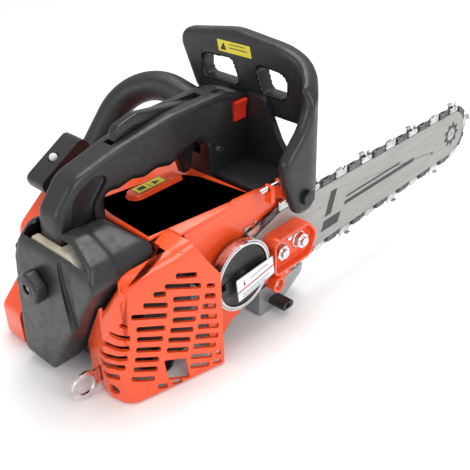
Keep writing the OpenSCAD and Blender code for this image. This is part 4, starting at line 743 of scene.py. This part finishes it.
for y in STUDS_Y:
    cut(shell, plate("stud_hole", disc(STUD_HOLE_R, y, CRANK_Z, 32), "x", 60, 80))
cut(shell, plate("tensioner_hole", disc(3.7, *TENSIONER, 32), "x", 60, 80))
cut(shell, plate("screw_hole", disc(4.5, *COVER_SCREW, 32), "x", 75, 90))
cut(shell, plate("dimple", disc(2.4, -21, 105, 24), "x", 79, 90))
cut(shell, plate("link_bore", disc(2.1, LINK_X, LINK_Z, 24), "y", 0, 60))
round_edges(shell, 0.5, lambda x, y, z: x > 80 and 34 < y < 88 and 35 < z < 86, 2, 50)
fit(shell, orange, "orange_plastic", "engine", "clutch_cover")
LABEL_SLOPE = 0.15  # the printed bars climb with the label
printed = [([(-12.7, 60.5, 0), (30.6, 67, 0), (30.4, 68.2, 0), (-12.9, 61.8, 0)], red_ink)]
for y0, y1, z in ((-7, 24, 57), (-7, 20, 54.6), (2, 22, 68.5)):
    climb = (y1 - y0) * LABEL_SLOPE
    bar = [(y0, z, 0), (y1, z + climb, 0), (y1, z + 0.9 + climb, 0), (y0, z + 0.9, 0)]
    printed.append((bar, grey_ink))
printed.append(([(-6, 65, 0.2), (-3.5, 65.4, 0.2), (-5.2, 71.5, 0.2)], red_ink))
sticker("side_label", [(-12, 52, 1.5), (31.5, 58.5, 1.5), (29, 77, 1.5), (-14.5, 74.5, 1.5)],
        "x", COVER_OUT, 1, white_paper, grey_ink, "engine", printed)


# The nuts are plated and flanged, with a chamfer round their six flats.
NUT_ACROSS, FLANGE_R, NUT_BORE_R = 13, 8, 4.03


def hex_points(across, u, v, lean=0.0):
    """Corners of a hexagon by its width across the flats, in mm."""
    reach = across / math.sqrt(3)
    return [Vector((u + reach * math.cos(math.radians(60 * k + lean)),
                    v + reach * math.sin(math.radians(60 * k + lean)))) for k in range(6)]


for k, y in enumerate(STUDS_Y):
    nut = plate("nut", hex_points(NUT_ACROSS, y, CRANK_Z, 12 * k + 8), "x", 75.2, 80.5)
    round_edges(nut, 0.7, lambda x, y, z: x > 80, 3)
    flange = plate("flange", disc(FLANGE_R, y, CRANK_Z), "x", 74, 75.8)
    round_edges(flange, 0.8, lambda x, y, z: x > 75.5, 3)
    cut(nut, flange, "UNION")
    cut(nut, plate("bore", disc(NUT_BORE_R, y, CRANK_Z, 32), "x", 70, 84))
    nuts = join(nuts, nut) if k else nut
nuts.name = "bar_nuts_flanged"
fit(nuts, zinc, "zinc_steel", "engine", "bar_nuts")
keep("bar_studs", zinc, 0.5)
keep("chain_tensioner", zinc, 0.4)
keep("chain_catcher", satin_black, 1)

# ---- Bar and chain --------------------------------------------------------
# A laminated steel bar with a sprocket nose, painted satin grey all over.
# The chain has blued links and chromed cutters.
bar_paint = finish("bar_paint", steel_marks, (0.33, 0.33, 0.315), (0.39, 0.39, 0.375), 0.36, 0.5,
                   0.06, Metallic=0.35)
keep("guide_bar", bar_paint, 0.25)
keep("nose_sprocket", machined)
chrome = finish("cutter_chrome", steel_marks, (0.5, 0.5, 0.5), (0.72, 0.72, 0.72), 0.18, 0.36, 0.08,
                Metallic=1)
blued = finish("blued_steel", steel_marks, (0.10, 0.10, 0.105), (0.2, 0.2, 0.205), 0.28, 0.46, 0.1,
               Metallic=0.95)
keep("chain_cutters", chrome)
keep("chain_side_links", blued)
keep("chain_drive_links", blued)

# The star printed round the nose, the rivets there and two plain stripes
BAR_FACE, NOSE_Y = 66, 335
PRINT_LOW, PRINT_HIGH = BAR_FACE - 0.05, BAR_FACE + 0.1
star = []
for k in range(18):
    reach = 14.5 if k % 2 == 0 else 9.5
    star.append((NOSE_Y + reach * math.cos(math.radians(20 * k)),
                 CRANK_Z + reach * math.sin(math.radians(20 * k)), 0.6))
mark = plate("nose_star", rounded(star), "x", PRINT_LOW, PRINT_HIGH)
cut(mark, plate("inside", disc(7.2, NOSE_Y, CRANK_Z), "x", BAR_FACE - 1, BAR_FACE + 1))
fit(mark, ink, "dark_steel", "engine")
rivets = []
for k in range(5):
    angle = math.radians(72 * k + 18)
    rivet = plate("rivet", disc(1.3, NOSE_Y + 4.6 * math.cos(angle),
                                CRANK_Z + 4.6 * math.sin(angle), 16), "x", BAR_FACE - 0.1,
                  BAR_FACE + 0.25)
    rivets.append(round_edges(rivet, 0.15, lambda x, y, z: x > BAR_FACE, 2))
rivet_set = join(*rivets)
rivet_set.name = "nose_rivets"
fit(rivet_set, machined, "bright_steel", "engine")
stripe_plans = (
    [(118, 66, 0.3), (127, 66, 0.3), (135, 89, 0.3), (126, 89, 0.3)],
    [(113, 52, 0.3), (138, 52, 0.3), (142, 62, 0.3), (117, 62, 0.3)],
    [(146, 66, 0.4), (262, 66, 0.4), (264, 70, 0.4), (148, 70, 0.4)],
    [(149, 73, 0.4), (236, 73, 0.4), (237, 75, 0.4), (150, 75, 0.4)])
mark = join(*[plate("stripe", rounded(plan), "x", PRINT_LOW, PRINT_HIGH) for plan in stripe_plans])
mark.name = "bar_stripes"
fit(mark, ink, "dark_steel", "engine")

# ---- Side handle ----------------------------------------------------------
# A bent steel tube under a thick rubber sleeve loops from the front block over
# the left side and down to a moulded foot on the starter housing.
handle_rubber = finish("handle_rubber", rubber_marks, (0.012, 0.012, 0.013), (0.02, 0.02, 0.021),
                       0.4, 0.58, 0.25)
keep("side_handle", handle_rubber)

# ---- Starter --------------------------------------------------------------
# The orange housing on the left holds the recoil spring and the rope pulley.
# Cooling air enters through rings of slots in front of the flywheel fan; round
# ports let the two caps, the primer bulb and the choke lever through.
HOUSING_OUT, PORT_LOW, PORT_HIGH = -88, -95, -80  # X, in mm
housing_side = [(-126, 0, 6), (62, 0, 10), (76, 26, 14), (74, 84, 22), (36, 119, 20),
                (-66, 121, 12), (-96, 97, 14), (-104, 54, 12), (-126, 32, 10)]
shell = plate("starter_housing_shell", rounded(housing_side), "x", HOUSING_OUT, -60)
round_edges(shell, 5, lambda x, y, z: x < -87, 6)
cut(shell, plate("hollow", rounded(inset(housing_side, COVER_WALL)), "x", -85.4, -50))
air_slots = []
for ring, reach in enumerate((15, 24, 33)):
    for k in range(12):
        angle = math.radians(30 * k + 15 * (ring % 2))
        spot = [(-reach * 0.2, reach), (reach * 0.2, reach), (reach * 0.2, reach + 5),
                (-reach * 0.2, reach + 5)]
        turned = [(u * math.cos(angle) - v * math.sin(angle),
                   CRANK_Z + u * math.sin(angle) + v * math.cos(angle), 1.8) for u, v in spot]
        air_slots.append(plate("slot", rounded(turned, 30), "x", PORT_LOW, PORT_HIGH))
cut(shell, join(*air_slots))
for y, z, radius in ((56, 34, 14.6), (-66, 26, 14.6), (-90, 34, 9.6), (-95, 56, 2.6)):
    cut(shell, plate("port", disc(radius, y, z), "x", PORT_LOW, PORT_HIGH))
fit(shell, orange, "orange_plastic", "engine", "starter_housing")
keep("starter_pulley", satin_black, 0.4)
keep("recoil_spring", machined)
keep("starter_grip", satin_black, 2.4)
rope_marks = marks("rope_marks", 120, 1500, 700, (1, 1, 3))
rope = finish("rope_white", rope_marks, (0.7, 0.69, 0.66), (0.85, 0.84, 0.8), 0.6, 0.8, 0.8, 0.0004)
keep("starter_rope", rope)

# ---- Tanks and fixings ----------------------------------------------------
# Two moulded tanks hold fuel and chain oil under screw caps on the left side.
# A flat steel eye at the rear takes a climber's lanyard.
tank_plastic = finish("tank_plastic", moulded_marks, (0.035, 0.035, 0.038), (0.055, 0.055, 0.06),
                      0.38, 0.52, 0.1)
keep("fuel_tank", tank_plastic, 1.5)
keep("oil_tank", tank_plastic, 1.5)
keep("fuel_cap", satin_black, 0.8)
keep("oil_cap", satin_black, 0.8)
keep("lanyard_ring", zinc, 0.5)
keep("cover_screws", zinc, 0.3)
